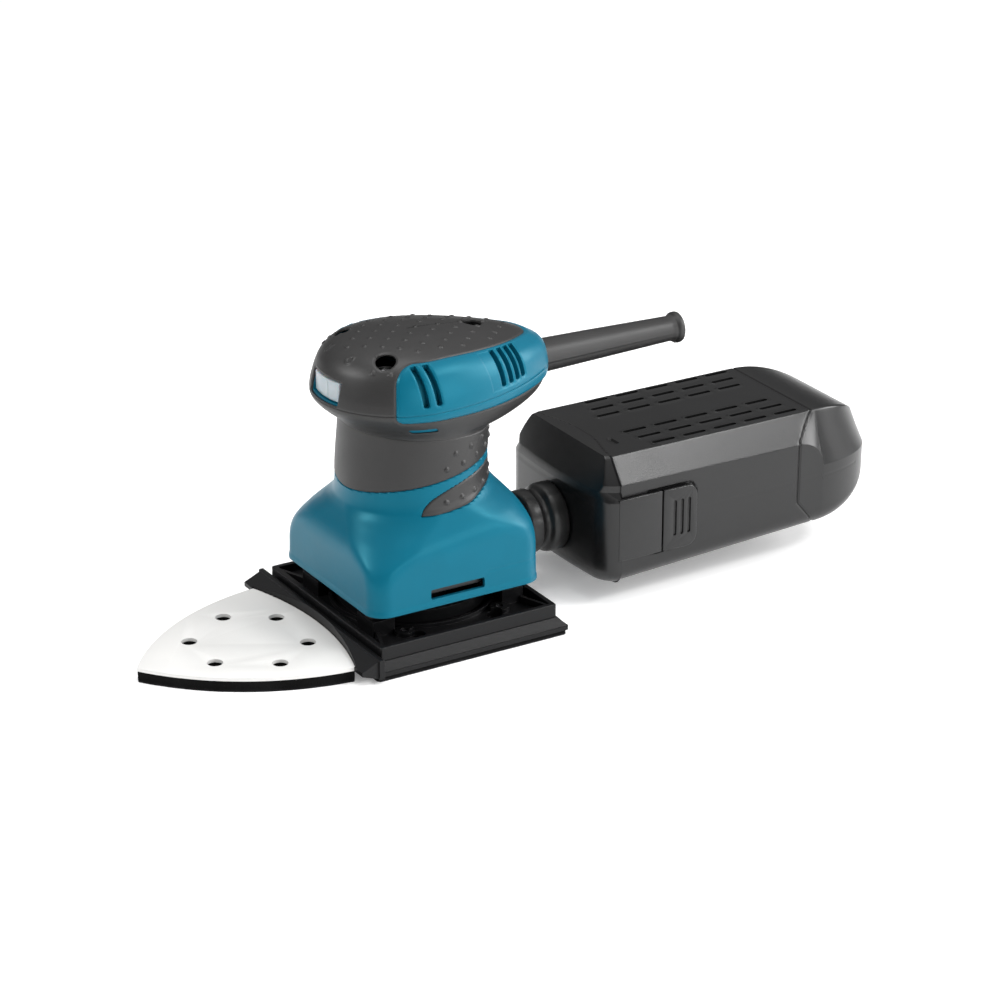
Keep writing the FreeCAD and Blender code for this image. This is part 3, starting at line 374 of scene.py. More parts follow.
def carve(piece, tool, operation="DIFFERENCE"):
    """Cuts a piece with a tool, or joins the tool to it."""
    change = piece.modifiers.new("carve", "BOOLEAN")
    change.operation = operation
    change.solver = "MANIFOLD"
    change.object = tool
    settle(piece)
    bpy.data.objects.remove(tool)
    return piece


def soften(piece, width, segments=3, angle=30.0):
    """Rounds a piece's sharp edges."""
    bevel = piece.modifiers.new("edges", "BEVEL")
    bevel.width = width * MM
    bevel.segments = segments
    bevel.limit_method = "ANGLE"
    bevel.angle_limit = math.radians(angle)
    return settle(piece)


def dress(piece, body, slot, *nodes):
    """Settles a piece on its body, in place of CAD nodes. The finish given as slot is not used."""
    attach(piece, body)
    if nodes:
        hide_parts(*nodes)
    return piece


def clad(name, grid, height, field, thickness, finish, *nodes):
    """A patch that belongs to the housing."""
    dress(patch(name, grid, height, field, thickness, finish), "housing", finish, *nodes)


def drill(piece, spots, radius, points, low, high, finish):
    """Round holes straight down through a piece whose corners are low and high."""
    for spot in spots:
        ring = arc(spot, radius, 0, 360, points + 1)[:-1]
        carve(piece, prism("hole", ring, low[2] - 1, high[2] + 1, "Z", finish))


def arc(centre, radius, start, stop, count):
    """Points on an arc, its angles in degrees."""
    angle = np.radians(np.linspace(start, stop, count))
    return np.stack([centre[0] + radius * np.cos(angle), centre[1] + radius * np.sin(angle)], -1)


def bowed(start, stop, radius, count):
    """Points from start up to stop, on an arc that bulges to the right of the way."""
    start, stop = np.array(start, float), np.array(stop, float)
    way = stop - start
    right = np.array([way[1], -way[0]]) / np.linalg.norm(way)
    rise = math.sqrt(radius ** 2 - (np.linalg.norm(way) / 2) ** 2)
    centre = (start + stop) / 2 - right * rise
    first = math.atan2(*(start - centre)[::-1])
    turn = (math.atan2(*(stop - centre)[::-1]) - first + math.pi) % (2 * math.pi) - math.pi
    angle = first + turn * np.linspace(0, 1, count, endpoint=False)
    return centre + radius * np.stack([np.cos(angle), np.sin(angle)], -1)


def dots(a, b, spots, radius, height):
    """Low round bumps at the spots, as a height over the (a, b) plane."""
    total = np.zeros(a.shape)
    for spot_a, spot_b in spots:
        near = (a - spot_a) ** 2 + (b - spot_b) ** 2
        total = np.maximum(total, height * np.sqrt(np.clip(1 - near / radius ** 2, 0, 1)))
    return total


def seam(distance, depth=0.4, width=0.55):
    """A soft groove where a distance field crosses zero."""
    return -depth * np.exp(-(distance / width) ** 2)


# Housing and neck.

skirt_low, skirt_high = span("motor_housing")
FOOT = skirt_low[2]
NECK_TOP = skirt_high[2]
HALF = skirt_high[0]
NECK_RADIUS = span("neck_grip")[1][0]
NECK_FOOT = 70.0
SPIGOT = (span("exhaust_spigot")[0] + span("exhaust_spigot")[1]) / 2


def square_reach(angle, half, corner):
    """Distance from the axis to a rounded square, in the direction of an angle."""
    c, s = np.abs(np.cos(angle)), np.abs(np.sin(angle))
    c, s = np.maximum(c, s), np.minimum(c, s)
    flat = half - corner
    face = half / c
    root = np.sqrt(np.maximum(corner ** 2 - (flat * (c - s)) ** 2, 0.0))
    return np.where(face * s <= flat, face, flat * (c + s) + root)


def housing_radius(angle, z):
    """The body's outer reach: a square skirt cut by a dome that narrows to the neck."""
    draft = (z - FOOT) * 0.012
    wall = square_reach(angle, HALF - draft, 9.0)
    y = -np.cos(angle)
    level = z - 2.0 * soft_step(y, 0.0, 0.9) * soft_step(NECK_FOOT - z, 0.0, 12.0)
    level = level + 5.0 * soft_step(-y, -0.35, 0.75) * soft_step(84.0 - z, 0.0, 16.0)
    knots = [24, 36, 44, 50, 57, 63, 67, 70, 74, 101]
    half = smooth_curve(knots, [54.0, 50.0, 47.6, 45.4, 41.7, 38.3, 36.3, 35.3, 34.75, 34.1], level)
    corner = smooth_curve(knots, [22, 22, 22, 22.4, 25, 30, 33.5, 34.8, 34.6, 34.0], level)
    dome = square_reach(angle, half, np.minimum(corner, half - 0.05))
    return soft_min(wall, dome, 2.6)


def neck_line(angle):
    """Height of the neck grip's lower edge: it climbs from the front to the back."""
    return 71.4 + 13.5 * ((1 - np.cos(angle)) / 2) ** 0.72


def neck_rim(angle):
    """Height of the seam between the neck and the head."""
    return 98.8 + 2.8 * np.cos(angle)


def rear_leaf(y, z):
    """Distance inside the leaf-shaped rear grip, seen from the side."""
    top = smooth_curve([-14, -11, -8, 3, 15, 40], [64.2, 68.5, 71, 75.5, 78.2, 81.5], y)
    low = smooth_curve([-14, -8, 8, 21, 40], [64.2, 64.3, 66.2, 69.2, 71.0], y)
    field = np.minimum(top - z, z - low)
    return np.where(y > -14, field, -np.hypot(y + 14, z - 64.2))


def round_grid(columns, heights, radius_of):
    """A grid round the motor's axis. Angle zero is the front, and it turns towards +X."""
    angle = np.linspace(0, 2 * math.pi, columns, endpoint=False)
    angle, z = np.meshgrid(angle, heights)
    radius = radius_of(angle, z)
    lean = 1.6 * soft_step(z, 74.0, 104.0)
    return angle, np.stack([radius * np.sin(angle), lean - radius * np.cos(angle), z], -1)


SIDE = 30.0  # past this x a point is on a side wall, not on the front or rear one
OFF = -9.0   # a field's value where its feature can't be


def motor_housing():
    """The skirt and neck, with the air slot in each side and the dust outlet behind."""
    heights = np.linspace(FOOT, NECK_TOP, 112)
    angle, grid = round_grid(440, heights, housing_radius)
    x, y, z = np.moveaxis(grid, -1, 0)
    neck = z - neck_line(angle)
    leaf = rear_leaf(y, z)
    sunk = np.maximum(neck, leaf)
    height = -1.5 * soft_step(sunk, -0.15, 0.35)
    height += 0.35 * soft_step(FOOT + 2.3 - z, 0.0, 0.5)
    height += seam(z - 35.0, 0.2, 0.35) * soft_step(y, 13.5, 14.5) * (np.abs(x) > SIDE)
    slot = inside_box(y, z, (-1.1, 30.0), (13.9, 2.4), 0.5)
    slot = np.where(np.abs(x) > SIDE, slot, OFF)
    outlet_radius = 12.1
    hole = np.where(y > 20, outlet_radius - np.hypot(x, z - SPIGOT[2]), OFF)
    clad("housing_shell", grid, height, np.minimum(-slot, -hole), 1.8, "teal_plastic", "motor_housing")


def neck_grips():
    """The elastomer sleeve round the neck and the leaf-shaped inlay behind, both with bumps."""
    heights = np.linspace(61.5, 102.0, 92)
    angle, grid = round_grid(500, heights, housing_radius)
    side = np.abs((np.degrees(angle) + 180) % 360 - 180)
    y, z = grid[..., 1], grid[..., 2]
    per_degree = NECK_RADIUS * math.pi / 180
    upper_row = [(94.4 + 15.0 * k, 91.0 + 1.3 * k) for k in range(6)]
    lower_row = [(87.2 + 15.0 * k, 84.2 + 1.3 * k) for k in range(7)]
    neck_spots = [(a * per_degree, b) for a, b in upper_row + lower_row]
    rear_spots = [((86.8 + 13.6 * k) * per_degree, 68.9 + 0.9 * k) for k in range(7)]
    neck = np.minimum(z - neck_line(angle), neck_rim(angle) - z)
    leaf = rear_leaf(y, z)
    for name, node, inside, spots in (("neck_grip_sleeve", "neck_grip", neck, neck_spots),
                                      ("rear_grip_inlay", "rear_grip", leaf, rear_spots)):
        height = 0.12 - 0.5 * soft_step(-inside, -0.9, 0.0)
        height += dots(side * per_degree, z, spots, 1.2, 0.75) * (inside > 1.2)
        clad(name, grid, height, inside - 0.12, 1.3, "grip_elastomer", node)


def neck_trim():
    """A thin line of the housing's colour between the head and the front of the neck."""
    angle, grid = round_grid(500, np.linspace(92.0, 103.5, 60), housing_radius)
    turn = (np.degrees(angle) + 180) % 360 - 180
    line = 0.7 - np.abs(grid[..., 2] - neck_rim(angle) + 1.5)
    field = np.minimum(line, (24.0 - np.abs(turn + 56.0)) * 0.1)
    clad("neck_trim", grid, np.full(field.shape, 0.3), field, 1.0, "teal_plastic")


# Head.

PARTING = span("top_cover")[0][2]
CROWN = 140.3
FRONT_CELLS, SIDE_CELLS, TAIL_CELLS = 130, 160, 44


def egg(front_radius, front_y, rear_radius, rear_y):
    """An egg outline as points from the nose round +X to the tail and back."""
    reach = rear_y - front_y
    side = (front_radius ** 2 + reach ** 2 - rear_radius ** 2) / (2 * (front_radius - rear_radius))
    centre_x = front_radius - side
    lean = math.atan2(reach, -centre_x)
    front = np.linspace(0, math.pi / 2, FRONT_CELLS, endpoint=False)
    flank = np.linspace(0, lean, SIDE_CELLS, endpoint=False)
    tail = np.linspace(lean, math.pi / 2, TAIL_CELLS + 1)
    x = np.concatenate([front_radius * np.sin(front), centre_x + side * np.cos(flank),
                        rear_radius * np.cos(tail)])
    y = np.concatenate([front_y - front_radius * np.cos(front), front_y + side * np.sin(flank),
                        rear_y + rear_radius * np.sin(tail)])
    return np.concatenate([x, -x[-2:0:-1]]), np.concatenate([y, y[-2:0:-1]])


# Height, then the front arc's radius and place along Y, then the rear arc's.
HEAD_LEVELS = [
    (98.0, 32.6, 1.6, 31.0, 3.5),
    (98.1, 33.9, 1.4, 32.0, 4.0),
    (99.6, 34.4, 0.8, 30.0, 9.0),
    (101.6, 35.2, -0.4, 24.0, 27.0),
    (104.5, 36.6, -2.4, 22.2, 38.0),
    (109.0, 38.7, -4.7, 22.1, 44.0),
    (112.6, 39.8, -5.8, 22.0, 46.3),
    (PARTING, 40.0, -6.0, 22.0, 46.5),
    (118.5, 39.5, -6.0, 21.5, 46.5),
    (122.5, 38.5, -6.0, 20.6, 46.5),
    (127.0, 37.0, -6.0, 19.0, 46.5),
    (130.5, 35.3, -6.0, 17.2, 46.5),
    (134.6, 31.4, -6.0, 13.2, 46.4),
    (137.3, 25.4, -5.9, 8.0, 44.5),
    (139.3, 16.0, -4.5, 4.2, 38.0),
    (CROWN - 0.1, 8.0, -2.0, 1.8, 29.0),
    (CROWN, 0.6, -1.0, 0.3, 25.0),
]


def head_grid():
    """Rings of egg outlines from the neck to the crown, with the distance along each way."""
    levels = np.array(HEAD_LEVELS)
    nose = np.stack([levels[:, 2] - levels[:, 1], levels[:, 0]], -1)
    knots = np.concatenate([[0], np.cumsum(np.linalg.norm(np.diff(nose, axis=0), axis=1))])
    at = np.linspace(0, knots[-1], 200)
    columns = [smooth_curve(knots, levels[:, part], at) for part in range(5)]
    rows = []
    for z, front_radius, front_y, rear_radius, rear_y in zip(*columns):
        x, y = egg(front_radius, front_y, rear_radius, rear_y)
        tilt = -0.075 * y * max(PARTING - z, 0.0) / (PARTING - 98.0)
        fall = 5.2 * (np.clip(y - 2.0, 0, 60) / 50.0) ** 1.3
        fall = fall * soft_step(z, PARTING + 7.0, CROWN - 2.5)
        rows.append(np.stack([x, y, z + tilt - fall], -1))
    ridge = rows[-1] * (0.0, 1.0, 1.0)
    grid = np.array(rows + [ridge])
    rim = grid[np.argmin(np.abs(columns[0] - PARTING))]
    half = FRONT_CELLS + SIDE_CELLS + TAIL_CELLS
    steps = np.linalg.norm(np.diff(rim[:half + 1], axis=0), axis=1)
    round_way = np.concatenate([[0], np.cumsum(steps)])
    round_way = np.concatenate([round_way, round_way[-2:0:-1]])
    level = np.interp(PARTING, columns[0], at)
    up_way = np.append(at, at[-1]) - level
    return grid, *np.meshgrid(round_way, up_way)


PANEL_FRONT = 41.4
PANEL_TOP = 24.3
STRIP = 4.9
WELL = 4.7
SCREWS = [(21.3, -24.2), (-21.3, -24.2), (0.0, 32.0)]
MARK_X = 9.2


def head():
    """The top cover, its grip pad, the base and the pieces that line their openings."""
    grid, around, rise = head_grid()
    x, y, z = np.moveaxis(grid, -1, 0)
    panel = inside_box(around, rise, (PANEL_FRONT + 100.0, PANEL_TOP - 40.0), (100.0, 40.0), 11.0)
    strip_corner = inside_box(around, rise, (PANEL_FRONT + 100.0, 40.0 - STRIP), (100.0, 40.0), 3.2)
    teal = np.minimum(panel, strip_corner)
    window = np.where(y < -20, inside_box(x, z, (0.0, 120.7), (12.4, 5.4), 1.4), OFF)
    well = np.max([WELL - np.hypot(x - a, y - b) for a, b in SCREWS], axis=0)
    well = np.where(z > 124, well, OFF)

    slots = []
    for foot, top, low, high in ((-13.5, -15.9, 117.6, 135.3), (-7.4, -10.6, 117.8, 136.0),
                                 (29.3, 25.8, 117.6, 135.2), (34.3, 30.7, 117.7, 134.9),
                                 (38.7, 35.1, 117.9, 134.6), (42.6, 39.2, 118.1, 134.2)):
        share = np.clip((z - low) / (high - low), 0, 1) ** 1.6
        middle = foot + (top - foot) * share
        slots.append(inside_box(y - middle, z, (0.0, (low + high) / 2), (1.45, (high - low) / 2), 1.0))
    slot = np.where(np.abs(x) > 12, np.minimum(np.max(slots, axis=0), teal - 1.6), OFF)

    height = seam(teal) + seam(rise, 0.25, 0.4)
    height += 0.45 * np.clip(teal / 1.7, 0, 1)
    step_line = y - (21.5 - 4.5 * np.clip((z - 118) / 17, 0, 1) ** 1.4)
    height -= (0.22 * soft_step(step_line, 0, 0.5) * soft_step(52 - y, 0, 9)
               * soft_step(teal, 1.7, 2.4) * soft_step(rise, 2.0, 2.8))
    height -= 0.4 * soft_step(slot, -0.7, 0.0) + 0.45 * soft_step(well, -0.8, 0.0)
    height -= 0.35 * soft_step(window, -0.7, 0.0)
    flat = np.zeros(height.shape)
    cover = np.minimum(np.minimum(teal, rise - 0.06), np.minimum(-slot, -well))
    clad("cover_panels", grid, height, cover, 3.0, "teal_plastic", "top_cover")
    base = np.minimum(teal, -rise - 0.06)
    clad("base_strip", grid, height, base, 2.2, "teal_plastic", "head_base")
    lining = np.minimum(slot + 1.5, teal - 0.5)
    clad("vent_lining", grid, flat - 4.2, lining, 5.0, "teal_plastic")

    lattice = [(5.65 * i, -37.3 + 5.75 * j) for i in range(-5, 6) for j in range(17) if (i + j) % 2]
    crowded = SCREWS + [(MARK_X, -35.6), (-MARK_X, -35.6)]
    spots = [s for s in lattice if min(math.dist(s, other) for other in crowded) > 4.6]
    bumps = dots(x, y, spots, 1.1, 0.5) * (teal < -3.0) * (rise > 18.0)
    ring_mark = 0.42 - np.abs(np.hypot(x - MARK_X, y + 35.4) - 1.7)
    bar_mark = 0.3 - np.abs(inside_box(x, y, (-MARK_X, -35.4), (0.95, 2.1), 0.5))
    marks = 0.3 * soft_step(np.maximum(ring_mark, bar_mark), -0.15, 0.15) * (z > 125)
    grip = np.minimum(np.minimum(-teal - 0.1, rise - 0.06), np.minimum(-window, -well))
    clad("top_grip_pad", grid, height + bumps + marks, grip, 1.2, "grip_elastomer", "top_grip")
    skin = np.minimum(-teal - 0.1, -rise - 0.06)
    notch = inside_box(around, z, (51.0, 105.0), (7.4, 1.15), 1.1)
    low_height = height - 0.5 * soft_step(notch, -0.2, 0.3)
    clad("base_grip_skin", grid, low_height, np.minimum(skin, -notch), 1.2, "grip_elastomer", "base_grip")
    clad("base_inset", grid, flat - 0.75, np.minimum(notch + 1.2, -rise), 1.8, "teal_plastic")
    frame_field = np.minimum(window + 2.2, 0.75 - window)
    clad("window_frame", grid, flat - 1.3, frame_field, 3.9, "teal_plastic")
    for index, (a, b) in enumerate(SCREWS):
        rim = 136.0 if b > 0 else 131.8
        wall = [(3.5, 127.6), (3.5, 128.6), (WELL - 0.1, 129.4), (WELL, rim), (WELL + 0.9, rim),
                (WELL + 0.6, 127.6)]
        cup = turned("screw_well_%d" % index, rounded(wall, 0.2), (a, b, 0.0), "Z", "black_plastic", 48)
        dress(settle(cup), "housing", "black_plastic")


def screws():
    """Cross-head screws at the bottom of the three wells."""
    top = span("cover_screws")[1][2] + 1.4
    made = []
    for a, b in SCREWS:
        side = [(0.02, top - 24), (1.5, top - 24), (1.5, top - 2.2), (3.2, top - 2.0), (3.35, top - 1.2),
                (2.6, top - 0.35), (1.4, top), (0.02, top)]
        head_piece = turned("screw", side, (a, b, 0.0), "Z", "steel", 40)
        settle(head_piece)
        for half_x, half_y in ((1.75, 0.42), (0.42, 1.75)):
            plus = [(a + half_x * i, b + half_y * j) for i, j in ((-1, -1), (1, -1), (1, 1), (-1, 1))]
            carve(head_piece, prism("bit", plus, top - 1.2, top + 1, "Z", "steel"))
        made.append(head_piece)
    dress(join("cover_screw_set", made), "housing", "steel", "cover_screws")


def join(name, pieces):
    """Several pieces as one."""
    work = bmesh.new()
    for piece in pieces:
        work.from_mesh(piece.data)
    mesh = bpy.data.meshes.new(name)
    work.to_mesh(mesh)
    work.free()
    mesh.materials.append(pieces[0].data.materials[0])
    whole = add_object(name, mesh)
    whole["sharp"] = pieces[0]["sharp"]
    for piece in pieces:
        bpy.data.objects.remove(piece)
    return settle(whole)


def rocker():
    """The pale switch cover: two faces that meet in a shallow ridge."""
    low, high = span("power_rocker")
    bulge = [(x, low[1] - 1.3 + 1.5 * (x / high[0]) ** 2) for x in np.linspace(low[0], high[0], 13)]
    outline = [(low[0], -36.6)] + bulge + [(high[0], -36.6), (2.6, -35.0), (-2.6, -35.0)]
    piece = prism("rocker_cap", outline, low[2] + 0.2, high[2], "Z", "smoke_plastic", 50.0)
    soften(piece, 0.6, 4, 35.0)
    line = [(3.1, low[1] - 3), (3.35, low[1] - 3), (3.35, low[1] - 0.95), (3.1, low[1] - 0.95)]
    carve(piece, prism("line", line, low[2], high[2] + 1, "Z", "smoke_plastic"))
    dress(piece, "rocker", "smoke_plastic", "power_rocker")


def cord_guard():
    """The tapered sleeve: round below, with a raised saddle over its upper half and a collar."""
    low, high = span("cord_guard")
    middle = (low[2] + high[2]) / 2
    bore, socket, socket_depth = 3.8, 4.8, 20.0
    collar, raised, columns, rows = 5.2, 0.45, 120, 60
    collar_start = high[1] - collar
    lip = high[1] - np.array([4.4, 3.9, 3.5, 3.2, 3.0, 2.6, 1.6, 0.8, 0.3, 0.0])
    along = np.concatenate([np.linspace(low[1], collar_start, rows), lip])
    radius = np.interp(along, [low[1], collar_start], [8.5, 6.35])
    radius[rows:] = [6.32, 6.3, 6.4, 6.7, 7.0, 7.3, 7.42, 7.4, 7.2, 6.8]
    angle = np.linspace(0, 2 * math.pi, columns, endpoint=False)
    saddle = soft_step(np.sin(angle), -0.16, -0.08)
    rings = []

    def add_ring(y, reach):
        across, up = reach * np.cos(angle), reach * np.sin(angle)
        rings.append(np.stack([-across, np.full(columns, y), middle + up], -1))

    for y, r in zip(along, radius):
        if y > collar_start:
            add_ring(y, r)
        else:
            lift = raised * min(1.0, (collar_start - y) / 60.0 + 0.25)
            add_ring(y, r - raised + lift * saddle)
    shelf = low[1] + socket_depth
    for y, r in ((high[1] - 0.1, 4.6), (high[1] - 0.6, 4.0), (high[1] - 1.4, bore),
                 (shelf + 0.5, bore), (shelf - 0.5, socket), (low[1], socket)):
        add_ring(y, r)
    piece = settle(loft("cord_sleeve", rings, "grip_elastomer", 40.0, closed=True))
    dress(piece, "housing", "rubber", "cord_guard")


# Dust box.

def box_outline(corners, radii, counts, arc_count=12):
    """Points round a closed outline with round corners, the same number each time."""
    corners = np.asarray(corners, float)
    total = len(corners)
    ends = []
    for index in range(total):
        before = corners[index - 1] - corners[index]
        after = corners[(index + 1) % total] - corners[index]
        before, after = before / np.linalg.norm(before), after / np.linalg.norm(after)
        half_turn = math.acos(np.clip(before @ after, -1, 1)) / 2
        cut = radii[index] / math.tan(half_turn)
        inward = (before + after) / np.linalg.norm(before + after)
        centre = corners[index] + inward * radii[index] / math.sin(half_turn)
        ends.append((corners[index] + before * cut, corners[index] + after * cut, centre))
    path = []
    for index in range(total):
        start, stop, centre = ends[index]
        first, last = start - centre, stop - centre
        angle = math.acos(np.clip(first @ last / radii[index] ** 2, -1, 1))
        for t in np.linspace(0, 1, arc_count, endpoint=False):
            blend = math.sin((1 - t) * angle) * first + math.sin(t * angle) * last
            path.append(centre + blend / math.sin(angle))
        following = ends[(index + 1) % total][0]
        for t in np.linspace(0, 1, counts[index], endpoint=False):
            path.append(stop + (following - stop) * t)
    return np.array(path)


front_low, front_high = span("box_front")
rear_low, rear_high = span("box_rear")
cap_low, cap_high = span("end_cap")
BOX_SEAM = rear_low[1]
CAP_SEAM = cap_low[1]
BOX_TOP = rear_high[2]
SHOULDER = 59.7   # height of the edge between the side and the slanted shoulder
TIP_Z = 46.0      # height that the cap domes to
EAR_Y = 187.0     # how far forward the cap reaches at the sides
BOX_HALF = 41.5
TOP_HALF = 32.5
LEDGE = 53.8      # height of the front cover's tray
SEAM_STEP = 5.2   # how much further forward the front seam is at the sides
HOOD_STRIP = 7.4  # flat top of the front cover, before its slanted face
BOX_SIDE = 36.0   # past this x a point is on the side of the box


def front_seam(x):
    """Where the front cover meets the rear shell: further forward at the sides than in the middle."""
    return BOX_SEAM - SEAM_STEP * soft_step(np.abs(x), 6.0, 33.0)


def box_bottom(y):
    """Height of the box's underside, which rises to the rear."""
    share = np.clip((y - BOX_SEAM) / (CAP_SEAM - BOX_SEAM), 0, 1)
    return 9.8 + 5.2 * share


def box_ring(y):
    """One cross-section of the dust box, clockwise seen from the front. Past the seam it domes."""
    swing = math.asin(min(max((y - CAP_SEAM) / (cap_high[1] - CAP_SEAM), 0.0), 1.0))
    close = max(math.cos(swing), 0.0)
    wide, tall = close ** 0.62, close ** 0.95
    bottom = TIP_Z + (box_bottom(y) - TIP_Z) * tall
    top = TIP_Z + (BOX_TOP - TIP_Z) * tall
    ear = min(max((y - EAR_Y) / 14.0, 0.0), 1.0)
    shoulder = SHOULDER - 0.8 * (y - BOX_SEAM) / 100.0
    shoulder = TIP_Z + (shoulder - TIP_Z) * min(math.sqrt(1 - ear * ear), tall)
    half = BOX_HALF * wide
    top_half = TOP_HALF * close
    corners = [(-top_half, top), (top_half, top), (half, shoulder),
               (half - 0.6 * wide, bottom), (-half + 0.6 * wide, bottom), (-half, shoulder)]
    radii = np.array([1.6, 1.6, 0.9, 8.0, 8.0, 0.9]) * max(min(wide, tall), 0.02)
    outline = box_outline(corners, radii, [90, 20, 44, 34, 44, 20])
    return np.stack([outline[:, 0], np.full(len(outline), y), outline[:, 1]], -1)


def box_shell():
    """The rear shell and its domed cap, split along a seam that steps forward at the sides."""
    finish = cap_high[1]
    swing = np.linspace(0, math.pi / 2, 96)
    along = np.concatenate([np.linspace(BOX_SEAM - 6.5, CAP_SEAM, 166, endpoint=False),
                            CAP_SEAM + (finish - 0.01 - CAP_SEAM) * np.sin(swing)])
    rings = np.array([box_ring(y) for y in along])
    tip = rings[-1:].mean(axis=1, keepdims=True).repeat(rings.shape[1], axis=1)
    grid = np.concatenate([rings, tip])
    x, y, z = np.moveaxis(grid, -1, 0)
    back = CAP_SEAM - (CAP_SEAM - EAR_Y) * soft_line(z, 15.0, 29.0) * soft_line(-z, -BOX_TOP, -SHOULDER)
    seam_gap = y - back
    on_top = z > BOX_TOP - 0.5
    dashes = []
    for column in (-29.0, -20.2, -11.4, 11.4, 20.2, 29.0):
        for step in range(5):
            middle = 115.6 + 17.2 * step + (abs(column) - 20.2) * 0.25
            dashes.append(inside_box(x, y, (column, middle), (1.15, 6.3), 1.1))
    dash = np.where(on_top, np.max(dashes, axis=0), OFF)
    height = 0.45 * soft_step(dash, -1.3, -0.7) - 0.15 * soft_step(dash, -0.35, 0.0)
    height -= 0.7 * np.exp(-(seam_gap / 0.5) ** 2)
    front_gap = y - front_seam(x)
    height -= 0.6 * soft_step(0.9 - front_gap, 0.0, 0.8)
    notch = np.where(on_top & (x > 0), inside_box(x, y, (17.5, 97.4), (3.4, 1.1), 0.3), OFF)
    height -= 0.9 * soft_step(notch, -0.3, 0.2)
    on_side = np.abs(x) > BOX_SIDE
    side_line = np.where(on_side, z - 39.0 - (y - 127) * 0.02, -OFF)
    height -= 0.1 * np.exp(-(side_line / 0.5) ** 2) * soft_step(y, 128, 131)
    pocket = np.where(on_side, inside_box(y, z, (113.4, 38.2), (15.2, 16.2), 5.8), OFF)
    height -= 0.75 * soft_step(pocket, -0.2, 0.2)
    ring_gap = np.minimum(-seam_gap - 0.15, front_gap - 0.2)
    shell = patch("box_rear_shell", grid, height, np.minimum(ring_gap, -dash), 2.2, "black_plastic", 24.0)
    dress(shell, "dust_rear", "black_plastic", "box_rear")
    cap = patch("end_cap_dome", grid, height, seam_gap - 0.15, 2.2, "black_plastic", 24.0)
    dress(cap, "dust_rear", "black_plastic", "end_cap")


def front_solid(inset):
    """The front cover's outer or inner form: a rounded tray with a narrower, slanted hood on it."""
    start, stop = front_low[1], BOX_SEAM - 0.15
    bottom = box_bottom(start)
    round_off = 8.5
    heights = np.concatenate([bottom + np.array([0, .3, .9, 1.8, 3, 4.5, 6.3, round_off]) + inset,
                              np.linspace(bottom + 11, LEDGE - 1.6, 34), [LEDGE - 1.2, LEDGE - 1.0],
                              np.linspace(LEDGE + 2.6, SHOULDER, 10),
                              np.linspace(SHOULDER + 0.6, BOX_TOP - 1.2, 14),
                              BOX_TOP - np.array([0.7, 0.3, 0.0]) - inset])
    rings = []
    for z in heights:
        lift = z - bottom - inset
        turn = round_off - math.sqrt(max(round_off ** 2 - max(round_off - lift, 0) ** 2, 0))
        if z <= LEDGE - 0.9:
            edge = 0.35 * soft_step(z, LEDGE - 1.7, LEDGE - 1.0)
            front_half = rear_half = front_high[0] - 0.15 - turn - inset - edge
            flare, corner = 0.0, 11.0
        else:
            slope = max(z - SHOULDER, 0.0) / (BOX_TOP - SHOULDER)
            rear_half = BOX_HALF + (TOP_HALF - BOX_HALF) * slope - inset
            rear_half -= 0.8 * soft_step(z, BOX_TOP - 1.0, BOX_TOP)
            front_half = rear_half - 5.5 + 3.0 * slope
            flare = (rear_half - front_half) * SEAM_STEP / (stop - start - SEAM_STEP)
            corner = 9.0 - 3.0 * slope
        nose = start + turn * 0.9 + inset
        plan = box_outline([(-front_half, nose), (front_half, nose),
                            (rear_half + flare, stop), (-rear_half - flare, stop)],
                           [corner, corner, 0.3, 0.3], [110, 20, 100, 20], 18)
        x, y = np.clip(plan[:, 0], -rear_half, rear_half), plan[:, 1]
        bow = 1.2 * np.minimum((x / 28.0) ** 2, 1.7)
        y = y + bow * (stop - y) / (stop - start)
        climb = max(z - LEDGE, 0.0) / (BOX_TOP + 0.6 - LEDGE)
        slant = start + inset * 1.3 + (BOX_SEAM - HOOD_STRIP - start) * climb + bow * (1 - climb)
        if z > LEDGE - 4:
            y = -soft_min(-y, -slant, 0.7)
        y = np.minimum(y, front_seam(x) - 0.2)
        rings.append(np.stack([x, y, np.full(len(x), z)], -1))
    return rings


def box_front():
    """The hollow front cover, with an arm along each side that the latch holds."""
    piece = loft("box_front_cover", front_solid(0.0), "black_plastic", 24.0)
    hollow = front_solid(2.2)
    hollow = [ring + np.array([0.0, 0.6, 0.0]) for ring in hollow]
    carve(piece, loft("hollow", hollow, "black_plastic"))
    low_arm, high_arm = span("latch_left")[0][2], span("latch_left")[1][2]
    arm_start, arm_end = BOX_SEAM - 7, span("latch_left")[0][1] - 0.6
    for side in (-1, 1):
        outline = [(arm_start, low_arm), (arm_end, low_arm), (arm_end, high_arm), (arm_start, high_arm)]
        near, far = sorted((side * (BOX_HALF + 0.35), side * (front_high[0] - 0.15)))
        arm = prism("arm", outline, near, far, "X", "black_plastic")
        soften(arm, 0.45, 3)
        carve(piece, arm, "UNION")
    ring = arc((0.0, SPIGOT[2]), 12.6, 0, 360, 65)[:-1]
    carve(piece, prism("way", ring, front_low[1] - 5, front_low[1] + 6, "Y", "black_plastic"))
    dress(piece, "dust_front", "black_plastic", "box_front")


